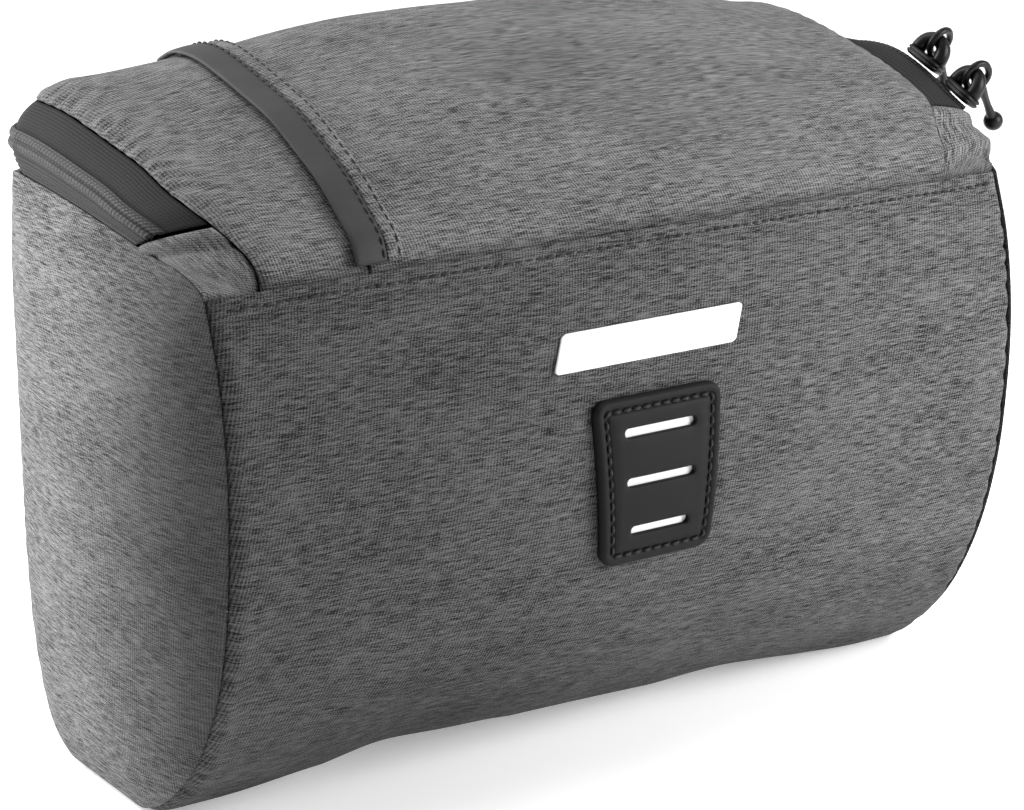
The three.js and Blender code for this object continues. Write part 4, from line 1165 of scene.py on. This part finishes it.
# %% The coil's cover
def zip_coil(width=5.6 * MM, pitch=1.45 * MM):
    """The tapes' folded edges over the coil: two soft ridges with a groove between them."""
    half = width / zip_width / 2
    share = np.linspace(-1, 1, 37)
    grid = zip_grid(fine_stations, ridge_share + half * share)
    normals = -grid_normals(grid)
    middle = grid.reshape(-1, 3).mean(0)
    way = np.sign(np.einsum("ijk,ijk->ij", normals, grid - middle)).mean()
    normals = normals * (1 if way > 0 else -1)
    line = grid[:, 18]
    length = np.concatenate([[0], np.cumsum(np.linalg.norm(np.diff(line, axis=0), axis=1))])
    ridges = 1.1 * MM * np.abs(np.sin(np.pi * share)) ** 0.5 * (1 - 0.25 * np.abs(share))
    cords = 0.1 * MM * np.cos(share * 9 * np.pi)
    teeth = 0.05 * MM * np.sin(2 * np.pi * length / pitch)
    height = gap + ridges[None, :] + cords[None, :] + teeth[:, None] * (np.abs(share) > 0.1)[None, :]
    flat = np.broadcast_arrays(length[:, None] / MM, (share * width / 2 / MM)[None, :])
    surface = grid + normals * height[..., None]
    piece = closed_sheet("coil_cover", surface, 0.3 * MM, coil_finish, flat, outward=tuple(middle))
    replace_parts(piece, "zip_coil")
    return piece


coil = zip_coil()
print("coil cover:", len(coil.data.polygons), "faces")


# %% Tabs at the zip's two ends
tab_thickness, tab_tucks, tab_tuck_lean = 1.0 * MM, (4 * MM, 2 * MM, 0.9 * MM), 0.2
tab_fold = {"height": 0.75 * MM, "place": 1.0 * MM, "width": 1.1 * MM}
tab_groove = {"height": -0.45 * MM, "place": 3.2 * MM, "width": 0.7 * MM}
tab_softness, tab_grain = 0.12, 0.014
share_to_length = 0.62


def rounded_ridge(distance, height, place, width):
    return height * np.exp(-(((distance - place) / width) ** 2))


def zip_tab(side):
    share_at_edge = tab_share if side < 0 else right_tab_share
    alongs = np.linspace(0.0, share_at_edge, 40)
    stations = [end_station(side, a) for a in alongs]
    acrosses = np.concatenate([np.linspace(0, tuck_share, 4, endpoint=False), np.linspace(tuck_share, 1, 36)])
    grid = zip_grid(stations, acrosses)
    tucked = [grid[:1] - np.array([side * tab_tuck_lean * down, 0, down]) for down in tab_tucks]
    grid = np.vstack([*tucked, grid])
    alongs = np.concatenate([[alongs[0]] * len(tab_tucks), alongs])
    normals = grid_normals(grid)
    centre = np.array([middle_x, outline_start_y + body_depth / 2, hem_height * 0.8])
    way = np.sign(np.einsum("ijk,ijk->ij", normals, grid - centre)).mean()
    normals = normals * (1 if way > 0 else -1)
    to_edge = (share_at_edge - alongs)[:, None] * lid_depth * share_to_length
    fold = rounded_ridge(to_edge, **tab_fold) + rounded_ridge(to_edge, **tab_groove)
    inner = ramp(np.abs(acrosses - 0.5), 0.5, 0.2)[None, :]
    soft = soft_noise(grid, tab_grain, 61 + side) * tab_softness * MM * inner
    grid = grid + normals * (fold + soft)[..., None]
    length = np.concatenate([[0], np.cumsum(np.linalg.norm(np.diff(grid[:, 20], axis=0), axis=1))])
    flat = np.broadcast_arrays((length / MM)[:, None], (acrosses * 24)[None, :])
    name = "tab_cloth_right" if side > 0 else "tab_cloth_left"
    piece = closed_sheet(name, grid, tab_thickness, heather_lid, flat, outward=tuple(centre))
    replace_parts(piece, "zip_tab_right" if side > 0 else "zip_tab_left")
    return piece


for side in (-1, 1):
    zip_tab(side)

# %% [markdown]
# ## Label and light patch
# The label is a thin pale film pressed onto the front, cut as a slanted bar and left bare. Below it, a
# moulded rubber patch is sewn on along a recessed border, and three slots show a pale reflective strip behind.


# %% Places on the front
front_middle = -0.8 * MM
patch_drop, patch_height = 59 * MM, 42 * MM
patch_top_width, patch_foot_width, patch_corner = 38.5 * MM, 33 * MM, 4 * MM
patch_thickness = 2.6 * MM


def along_at_drop(drop):
    """The length along the outline where the front lies this far below the hem."""
    falling = outline_lengths < 0.4 * outline_length
    return np.interp(drop, hem_height - outline_line[falling, 1], outline_lengths[falling])


def on_front(x, drop, height=0.0):
    """Points over the front cloth, at a drop below the hem and a height off it."""
    x, drop = np.broadcast_arrays(np.asarray(x, float), np.asarray(drop, float))
    along = along_at_drop(drop)
    here = body_point(along, x)
    down = body_point(along + 0.5 * MM, x) - body_point(along - 0.5 * MM, x)
    out = np.stack([np.zeros_like(x), down[..., 2], -down[..., 1]], axis=-1)
    out /= np.linalg.norm(out, axis=-1, keepdims=True)
    return here + out * np.asarray(height)[..., None], out


# %% The label
def label_film():
    length, height, slant, drop_middle = 54 * MM, 9.2 * MM, 3.3 * MM, 25.4 * MM
    t = np.linspace(-1, 1, 90)
    s = np.linspace(-1, 1, 18)
    along_t, down_s = np.meshgrid(t, s)
    corner = 1.1 * MM
    into = np.maximum(0, np.abs(down_s) * height / 2 - (height / 2 - corner))
    half = length / 2 - corner + np.sqrt(np.maximum(corner**2 - into**2, 0))
    x = front_middle + along_t * half - down_s / 2 * slant
    points, out = on_front(x, drop_middle + down_s * height / 2, 0.0)
    weave = 0.05 * MM * soft_noise(points, 0.006, 83)
    points = points + out * (gap + 0.45 * MM + weave)[..., None]
    flat = (x / MM, down_s * height / 2 / MM)
    inside = (middle_x, 0, hem_height / 2)
    piece = closed_sheet("label_bar", points, 0.5 * MM, label_finish, flat, outward=inside)
    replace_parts(piece, "label")
    return piece


label = label_film()


# %% The patch's outline
def patch_ring(inset, count=200):
    """The patch's outline, drawn in by an inset, as places across and down."""
    slope = (patch_top_width - patch_foot_width) / 2 / patch_height
    half_down = patch_height / 2 - inset
    radius = max(patch_corner - inset, 0.6 * MM)

    def half_at(down):
        return (patch_top_width + patch_foot_width) / 4 - slope * down - inset

    corners = []
    for sx, sy, start in ((1, -1, -90), (1, 1, 0), (-1, 1, 90), (-1, -1, 180)):
        centre = (sx * (half_at(sy * (half_down - radius)) - radius), sy * (half_down - radius))
        for a in np.radians(np.linspace(start, start + 90, 14)):
            corners.append((centre[0] + radius * math.cos(a), centre[1] + radius * math.sin(a)))
    ring = np.array(corners + corners[:1])
    lengths = np.concatenate([[0], np.cumsum(np.linalg.norm(np.diff(ring, axis=0), axis=1))])
    even = np.linspace(0, lengths[-1], count + 1)[:-1]
    return np.stack([np.interp(even, lengths, ring[:, k]) for k in range(2)], axis=1)


# %% The patch
slot_lengths = (21.5 * MM, 20.5 * MM, 17.5 * MM)
slot_height, slot_pitch = 2.4 * MM, 12.3 * MM
slot_downs = [(i - 1) * slot_pitch for i in range(3)]


def slot_distance(x, down):
    """Distance from a place on the patch to the edge of the nearest slot, below zero inside it."""
    best = np.full(np.shape(x), 1.0)
    for length, middle in zip(slot_lengths, slot_downs):
        half = length / 2 - slot_height / 2
        best = np.minimum(best, np.hypot(np.maximum(np.abs(x) - half, 0), down - middle) - slot_height / 2)
    return best


def edge_distance(x, down):
    """Distance in from the patch's edge, near enough for its border."""
    slope = (patch_top_width - patch_foot_width) / 2 / patch_height
    side = (patch_top_width + patch_foot_width) / 4 - slope * down - np.abs(x)
    end = patch_height / 2 - np.abs(down)
    into = np.minimum(side, end)
    cut = np.hypot(np.maximum(patch_corner - side, 0), np.maximum(patch_corner - end, 0))
    return np.where((side < patch_corner) & (end < patch_corner), patch_corner - cut, into)


def patch_height_at(x, down):
    """The moulded face: a rounded rim, a stitched recess inside it, and a slightly crowned middle."""
    edge = edge_distance(x, down)
    rim = 1 - (1 - np.clip(edge / (0.9 * MM), 0, 1)) ** 2
    recess = ramp(edge, 2.1 * MM, 2.5 * MM) * (1 - ramp(edge, 3.5 * MM, 3.9 * MM))
    slot_lip = 1 - ramp(slot_distance(x, down), 0, 0.55 * MM)
    crowned = 0.25 * MM * ramp(edge, 3.5 * MM, 14 * MM)
    hollows = 0.5 * MM * recess + 0.25 * MM * slot_lip
    return (0.45 + 0.55 * rim) * patch_thickness - hollows + crowned - 0.25 * MM


def patch_body():
    """A slotted sheet, cut from a fine grid, with walls at its edge and round each slot."""
    mesh = bmesh.new()
    rings = [patch_ring(inset * MM) for inset in (0, 0.15, 0.4, 0.8, 1.4, 2.0, 2.3, 2.6, 3.0, 3.4, 3.7, 4.0)]
    slots = []
    for length, middle in zip(slot_lengths, slot_downs):
        half = length / 2 - slot_height / 2
        for grow in (0.0, 0.25 * MM, 0.6 * MM):
            radius = slot_height / 2 + grow
            quarter = math.pi / 2
            turns = np.linspace(-quarter, quarter, 16)
            right = [(half + radius * math.cos(a), middle + radius * math.sin(a)) for a in turns]
            left = [(-x, y) for x, y in right[::-1]]
            top = [(x, middle + radius) for x in np.linspace(half, -half, 22)[1:-1]]
            foot = [(x, middle - radius) for x in np.linspace(-half, half, 22)[1:-1]]
            slots.append(right + top + left + foot)
    loops = [list(map(tuple, ring)) for ring in rings] + slots
    inner = np.linspace(-1, 1, 17)
    fill = [
        (x, y)
        for y in inner * (patch_height / 2 - 5 * MM)
        for x in inner * 0.5 * (patch_foot_width - 10 * MM)
        if slot_distance(np.array(x), np.array(y)) > 1.1 * MM
    ]
    points, edges = [], []
    for loop in loops:
        start = len(points)
        points.extend(loop)
        edges.extend((start + i, start + (i + 1) % len(loop)) for i in range(len(loop)))
    points.extend(fill)
    from mathutils.geometry import delaunay_2d_cdt

    flat_points, _, triangles, *_ = delaunay_2d_cdt([Vector(p) for p in points], edges, [], 0, 1e-7)
    flat_points = np.array([tuple(p) for p in flat_points])
    keep = []
    for triangle in triangles:
        centre = flat_points[list(triangle)].mean(0)
        off_slots = slot_distance(np.array(centre[0]), np.array(centre[1])) > 0
        inside = edge_distance(centre[0], centre[1]) > 0 and off_slots
        if inside and len(triangle) == 3:
            keep.append(triangle)
    x, down = flat_points[:, 0], flat_points[:, 1]
    top, _ = on_front(front_middle + x, patch_drop + down, gap + patch_height_at(x, down))
    foot, _ = on_front(front_middle + x, patch_drop + down, np.full(len(x), gap))
    vertices = [mesh.verts.new(p) for p in np.vstack([top, foot])]
    count = len(flat_points)
    for a, b, c in keep:
        mesh.faces.new((vertices[a], vertices[b], vertices[c]))
        mesh.faces.new((vertices[c + count], vertices[b + count], vertices[a + count]))
    used = {}
    for triangle in keep:
        for i in range(3):
            edge = (triangle[i], triangle[(i + 1) % 3])
            used[tuple(sorted(edge))] = None if tuple(sorted(edge)) in used else edge
    for edge in used.values():
        if edge is not None:
            a, b = edge
            mesh.faces.new((vertices[b], vertices[a], vertices[a + count], vertices[b + count]))
    loose = [v for v in mesh.verts if not v.link_faces]
    bmesh.ops.delete(mesh, geom=loose, context="VERTS")
    bmesh.ops.recalc_face_normals(mesh, faces=mesh.faces)
    data = bpy.data.meshes.new("patch_moulding")
    layer = mesh.loops.layers.uv.new("cloth")
    for face in mesh.faces:
        face.smooth = True
        for loop in face.loops:
            loop[layer].uv = (loop.vert.co.x / MM, loop.vert.co.z / MM)
    mesh.to_mesh(data)
    mesh.free()
    data.materials.append(rubber_finish)
    piece = bpy.data.objects.new("patch_moulding", data)
    bpy.context.scene.collection.objects.link(piece)
    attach(piece, "bag")
    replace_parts(piece, "light_patch")
    return piece


patch = patch_body()
print("patch:", len(patch.data.polygons), "faces")


# %% The strip behind the slots, and the patch's stitches
def insert_strip():
    half = max(slot_lengths) / 2 + 2.5 * MM
    tall = slot_pitch + slot_height / 2 + 2.5 * MM
    x, down = np.meshgrid(np.linspace(-half, half, 24), np.linspace(-tall, tall, 30))
    points, _ = on_front(front_middle + x, patch_drop + down, np.full(x.shape, gap + 0.9 * MM))
    inside = (middle_x, 0, hem_height / 2)
    piece = closed_sheet("insert_strip", points, 0.8 * MM, insert_finish, (x / MM, down / MM), outward=inside)
    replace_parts(piece, "patch_insert")
    return piece


insert = insert_strip()
border = patch_ring(3.0 * MM, 260)
border = np.vstack([border, border[:1]])
border_points, border_out = on_front(
    front_middle + border[:, 0], patch_drop + border[:, 1], gap + patch_height_at(border[:, 0], border[:, 1])
)
patch_stitches = stitch_row("patch_stitches", border_points, border_out, 2.9 * MM, 0.66, 0.42 * MM, 0.05 * MM)

# %% [markdown]
# ## Sliders and pulls
# Each slider is a small cast plate on the coil with a thick arched crown, and a pull hangs from each crown's
# bar. Their frames are found on the zip's own line, and the pulls' pivots are the joints of the CAD model.


# %% Frames on the zip
slider_length, slider_width, slider_thickness = 12 * MM, 7.6 * MM, 2.6 * MM
crown_length, crown_thickness, crown_bar, crown_hole = 9 * MM, 2.8 * MM, 2.6 * MM, 3.8 * MM
coil_height, slider_raise, slider_turn = 1.4 * MM, 0.5 * MM, math.radians(40)
slider_from_tab, slider_pitch = 6 * MM, 15 * MM
hang_lean = math.radians(36)
bar_height = slider_thickness + crown_hole + crown_bar / 2
eye_wire, eye_inner_width, eye_inner_length = 1.4 * MM, 5.8 * MM, 6.6 * MM
pull_length, stem_diameter, knob_diameter = 22.5 * MM, 2.6 * MM, 5.4 * MM


def joint_place(name):
    """Where a pull's joint lies in the CAD model."""
    joint = next(j for j in frame["joints"] if j["name"] == name)
    return np.array(joint["pos_m"])


def slider_frame(from_tab):
    """The frame on the coil at a length behind the right tab's edge."""
    alongs = np.linspace(right_tab_share, corner_start, 240)
    line = np.array([zip_points(end_station(1, a), [ridge_share])[0] for a in alongs])
    lengths = np.concatenate([[0], np.cumsum(np.linalg.norm(np.diff(line, axis=0), axis=1))])
    along = float(np.interp(from_tab, lengths, alongs))
    here = np.stack([np.interp(from_tab, lengths, line[:, k]) for k in range(3)])
    after = np.stack([np.interp(from_tab + 1 * MM, lengths, line[:, k]) for k in range(3)])
    before = np.stack([np.interp(max(from_tab - 1 * MM, 0), lengths, line[:, k]) for k in range(3)])
    forward = (before - after) / np.linalg.norm(before - after)
    station = end_station(1, along)
    across = zip_points(station, [ridge_share + 0.05])[0] - zip_points(station, [ridge_share - 0.05])[0]
    outward = np.cross(forward, across)
    outward /= np.linalg.norm(outward)
    if outward[0] < 0:
        outward = -outward
    outward = outward * math.cos(slider_turn) + np.cross(forward, outward) * math.sin(slider_turn)
    down = np.cross(outward, forward)
    origin = here + outward * (2 * gap + coil_height + slider_raise)
    return origin, np.stack([forward, down / np.linalg.norm(down), outward])


slider_frames = {"front": slider_frame(slider_from_tab), "back": slider_frame(slider_from_tab + slider_pitch)}
for name, (origin, axes) in slider_frames.items():
    off = origin + axes[2] * bar_height - joint_place(f"pull_{name}_swing")
    print(name, "pivot off by mm:", np.round(off / MM, 2))


# %% Slider bodies
slider_corners, slider_nose, slider_widening = (0.55, 0.6), 0.66, 0.34
slider_dome, dome_share = 1.04, 0.45
crown_foot, crown_arch, crown_span = 0.9, 0.75, 0.42
crown_width, crown_narrowing, crown_flattening = 0.78, 0.05, 1.12
# Each row of the profile is a share of the thickness and the outline's size there.
slider_profile = [
    (0.0, 0.86), (0.12, 0.95), (0.3, 1.0), (0.42, 1.0), (0.48, 0.93),
    (0.56, 0.93), (0.62, 1.0), (0.78, 1.0), (0.92, 0.93), (1.0, 0.8),
]


def in_frame(points, origin, axes):
    return origin + np.asarray(points) @ axes


def slider_body(which):
    origin, axes = slider_frames[which]
    mesh = bmesh.new()
    half = slider_width / 2
    outline = []
    for t in np.linspace(0, 2 * np.pi, 48, endpoint=False):
        c, s = math.cos(t), math.sin(t)
        x = slider_length / 2 * math.copysign(abs(c) ** slider_corners[0], c)
        widening = slider_widening * float(ramp(x, -slider_length / 2, slider_length / 4))
        width = half * (slider_nose + widening)
        outline.append((x, width * math.copysign(abs(s) ** slider_corners[1], s)))
    layers = []
    for height, size in slider_profile:
        layers.append([mesh.verts.new((x * size, y * size, height * slider_thickness)) for x, y in outline])
    for low, high in zip(layers, layers[1:]):
        for i in range(len(outline)):
            j = (i + 1) % len(outline)
            mesh.faces.new((low[i], low[j], high[j], high[i]))
    mesh.faces.new(layers[0][::-1])
    dome = slider_thickness * slider_dome
    top_inner = [mesh.verts.new((x * dome_share, y * dome_share, dome)) for x, y in outline]
    for i in range(len(outline)):
        j = (i + 1) % len(outline)
        mesh.faces.new((layers[-1][i], layers[-1][j], top_inner[j], top_inner[i]))
    mesh.faces.new(top_inner)
    rise = crown_hole + crown_bar / 2
    path = []
    for t in np.linspace(0, np.pi, 22):
        height = slider_thickness * crown_foot + rise * math.sin(t) ** crown_arch
        path.append((crown_length * crown_span * math.cos(t), 0.0, height))
    widths = [crown_bar * (crown_width - crown_narrowing * math.sin(t)) for t in np.linspace(0, np.pi, 22)]
    vertices, faces, _ = tube(path, widths, 12)
    scaled = [mesh.verts.new((v[0], v[1] * crown_flattening, v[2])) for v in vertices]
    for face in faces:
        mesh.faces.new([scaled[i] for i in face])
    bmesh.ops.recalc_face_normals(mesh, faces=mesh.faces)
    data = bpy.data.meshes.new(f"slider_{which}")
    layer = mesh.loops.layers.uv.new("cloth")
    for face in mesh.faces:
        face.smooth = True
        for loop in face.loops:
            loop[layer].uv = (loop.vert.co.x / MM, loop.vert.co.z / MM + loop.vert.co.y / MM)
    for vertex in mesh.verts:
        vertex.co = Vector(in_frame(np.array(vertex.co), origin, axes))
    mesh.to_mesh(data)
    mesh.free()
    data.materials.append(metal_finish)
    piece = bpy.data.objects.new(f"slider_{which}", data)
    bpy.context.scene.collection.objects.link(piece)
    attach(piece, "bag")
    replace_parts(piece, f"zip_slider_{which}")
    return piece


for which in ("front", "back"):
    slider_body(which)


# %% Pulls
eye_wire_share, stem_overlap, knob_tip = 0.68, 0.4 * MM, 0.15 * MM
stem_waist, stem_flare = 0.92, 0.16


def pull_axes(which):
    """The frame of a pull: along it, across it, and through its eye, with its eye's centre."""
    origin, axes = slider_frames[which]
    forward, down, outward = axes
    angle = math.atan2(-outward[2], -down[2]) + hang_lean
    along = math.cos(angle) * down + math.sin(angle) * outward
    pivot = origin + outward * bar_height
    offset = eye_inner_width / 2 - math.hypot(crown_bar, crown_thickness) / 2 - gap
    return pivot + along * offset, along, np.cross(forward, along), forward


def pull_piece(which):
    centre, along, across, through = pull_axes(which)
    straight = eye_inner_length - eye_inner_width
    radius = eye_inner_width / 2 + eye_wire / 2
    ring = []
    for t in np.linspace(0, 2 * np.pi, 44, endpoint=False):
        shift = straight if math.cos(t) > 0 else 0.0
        ring.append(centre + along * (shift + radius * math.cos(t)) + across * radius * math.sin(t))
    parts = [tube(ring, eye_wire * eye_wire_share, 12, closed=True)]
    start = straight + radius
    reach = np.linspace(start - stem_overlap, pull_length - eye_inner_width / 2, 26)
    share = (reach - reach[0]) / (reach[-1] - reach[0])
    thickness = stem_diameter / 2 * (stem_waist + stem_flare * np.cos(share * 2 * np.pi))
    parts.append(tube([centre + along * r for r in reach], thickness, 14))
    knob_centre = pull_length - knob_diameter / 2
    turns = np.linspace(0.02, np.pi - 0.02, 18)
    knob_path = [centre + along * (knob_centre - knob_diameter / 2 * math.cos(t)) for t in turns]
    knob_sizes = [max(knob_tip, knob_diameter / 2 * math.sin(t)) for t in turns]
    parts.append(tube(knob_path, knob_sizes, 20))
    vertices, faces, flat = joined(parts)
    piece = turn_out(new_piece(f"pull_{which}", vertices, faces, metal_finish, flat, body=f"pull_{which}"))
    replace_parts(piece, f"zip_pull_{which}")
    return piece


for which in ("front", "back"):
    pull_piece(which)

# %% [markdown]
# ## Loops for the handlebar
# Behind the bag, two loops of flat webbing are sewn to the back panel and pass round the handlebar. Webbing is
# a flat woven band with a firm edge, so each loop is a band bent round a circle, with its two tails sewn down.


# %% Bar loops
strap_thickness = 2.2 * MM
loop_inner = (31.8 + 0.8) / 2 * MM
strap_tail = 12 * MM


def bar_loop(node, low, high):
    x_low, x_high = low.x, high.x
    y0, zc = low.y, (low.z + high.z) / 2
    outer = loop_inner + strap_thickness
    mid = loop_inner + strap_thickness / 2
    centre_y = y0 + outer
    reach = outer + strap_tail
    tail_y = y0 + strap_thickness / 2
    meet = math.acos(min(1, (outer - strap_thickness) / mid))
    around = np.linspace(math.pi + meet * 1.02, 3 * math.pi - meet * 1.02, 90)
    ring = [(centre_y + mid * math.cos(a), zc + mid * math.sin(a)) for a in around]
    top = [(tail_y, z) for z in np.linspace(zc + reach, ring[-1][1] + 1.2 * MM, 12)]
    foot = [(tail_y, z) for z in np.linspace(ring[0][1] - 1.2 * MM, zc - reach, 12)]
    if ring[0][1] > ring[-1][1]:
        ring = ring[::-1]
    line = np.array(foot[::-1] + ring + top[::-1])
    across = np.linspace(0, 1, 15)
    edge = np.minimum(across, 1 - across) * (x_high - x_low)
    half = strap_thickness / 2 * np.sqrt(1 - (1 - np.clip(edge / (0.7 * MM), 0, 1)) ** 2 * 0.8)
    tangent = np.gradient(line, axis=0)
    tangent /= np.linalg.norm(tangent, axis=1, keepdims=True)
    normal = np.stack([tangent[:, 1], -tangent[:, 0]], axis=1)
    outer_face = np.zeros((len(line), len(across), 3))
    inner_face = np.zeros_like(outer_face)
    for j, t in enumerate(across):
        x = x_low + (x_high - x_low) * t
        for face, sign in ((outer_face, 1), (inner_face, -1)):
            face[:, j, 0] = x
            face[:, j, 1:] = line + sign * normal * half[j]
    return line, outer_face, inner_face


def webbing_loop(name, node, low, high):
    line, outer_face, inner_face = bar_loop(node, low, high)
    rows, cols = outer_face.shape[:2]
    vertices = np.vstack([outer_face.reshape(-1, 3), inner_face.reshape(-1, 3)])
    length = np.concatenate([[0], np.cumsum(np.linalg.norm(np.diff(line, axis=0), axis=1))]) / MM
    u, v = np.broadcast_arrays(length[:, None], (outer_face[0, :, 0] / MM)[None, :])
    flat = np.vstack([np.stack([u.ravel(), v.ravel()], axis=1)] * 2)
    at = np.arange(2 * rows * cols).reshape(2, rows, cols)
    faces = []
    for r in range(rows - 1):
        for c in range(cols - 1):
            faces.append((at[0, r, c], at[0, r, c + 1], at[0, r + 1, c + 1], at[0, r + 1, c]))
            faces.append((at[1, r, c], at[1, r + 1, c], at[1, r + 1, c + 1], at[1, r, c + 1]))
        faces.append((at[0, r, 0], at[0, r + 1, 0], at[1, r + 1, 0], at[1, r, 0]))
        faces.append((at[0, r, -1], at[1, r, -1], at[1, r + 1, -1], at[0, r + 1, -1]))
    for c in range(cols - 1):
        faces.append((at[0, 0, c], at[1, 0, c], at[1, 0, c + 1], at[0, 0, c + 1]))
        faces.append((at[0, -1, c], at[0, -1, c + 1], at[1, -1, c + 1], at[1, -1, c]))
    piece = turn_out(new_piece(name, vertices, [tuple(int(i) for i in f) for f in faces], webbing_finish, flat))
    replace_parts(piece, node)
    return piece


loops = [
    webbing_loop("bar_loop_left", "bar_strap_left", strap_low, strap_high),
    webbing_loop("bar_loop_right", "bar_strap_right", strap_right_low, strap_right_high),
]

# %% [markdown]
# ## Floor
# A plain pale sheet under the bag takes its soft shadow and nothing else.

# %% Floor and finish
floor_mesh = bpy.data.meshes.new("floor")
reach, under = 6, 0.4 * MM
corners = [(x, y, -under) for x, y in ((-reach, -reach), (reach, -reach), (reach, reach), (-reach, reach))]
floor_mesh.from_pydata(corners, [], [(0, 1, 2, 3)])
floor = bpy.data.objects.new("floor", floor_mesh)
bpy.context.scene.collection.objects.link(floor)
floor_shader = Shader("floor", Roughness=0.8)
floor_shader.surface.inputs["Base Color"].default_value = (0.95, 0.95, 0.95, 1)
floor_shader.surface.inputs["Emission Color"].default_value = (1, 1, 1, 1)
floor_shader.surface.inputs["Emission Strength"].default_value = 0.3
floor_mesh.materials.append(floor_shader.material)
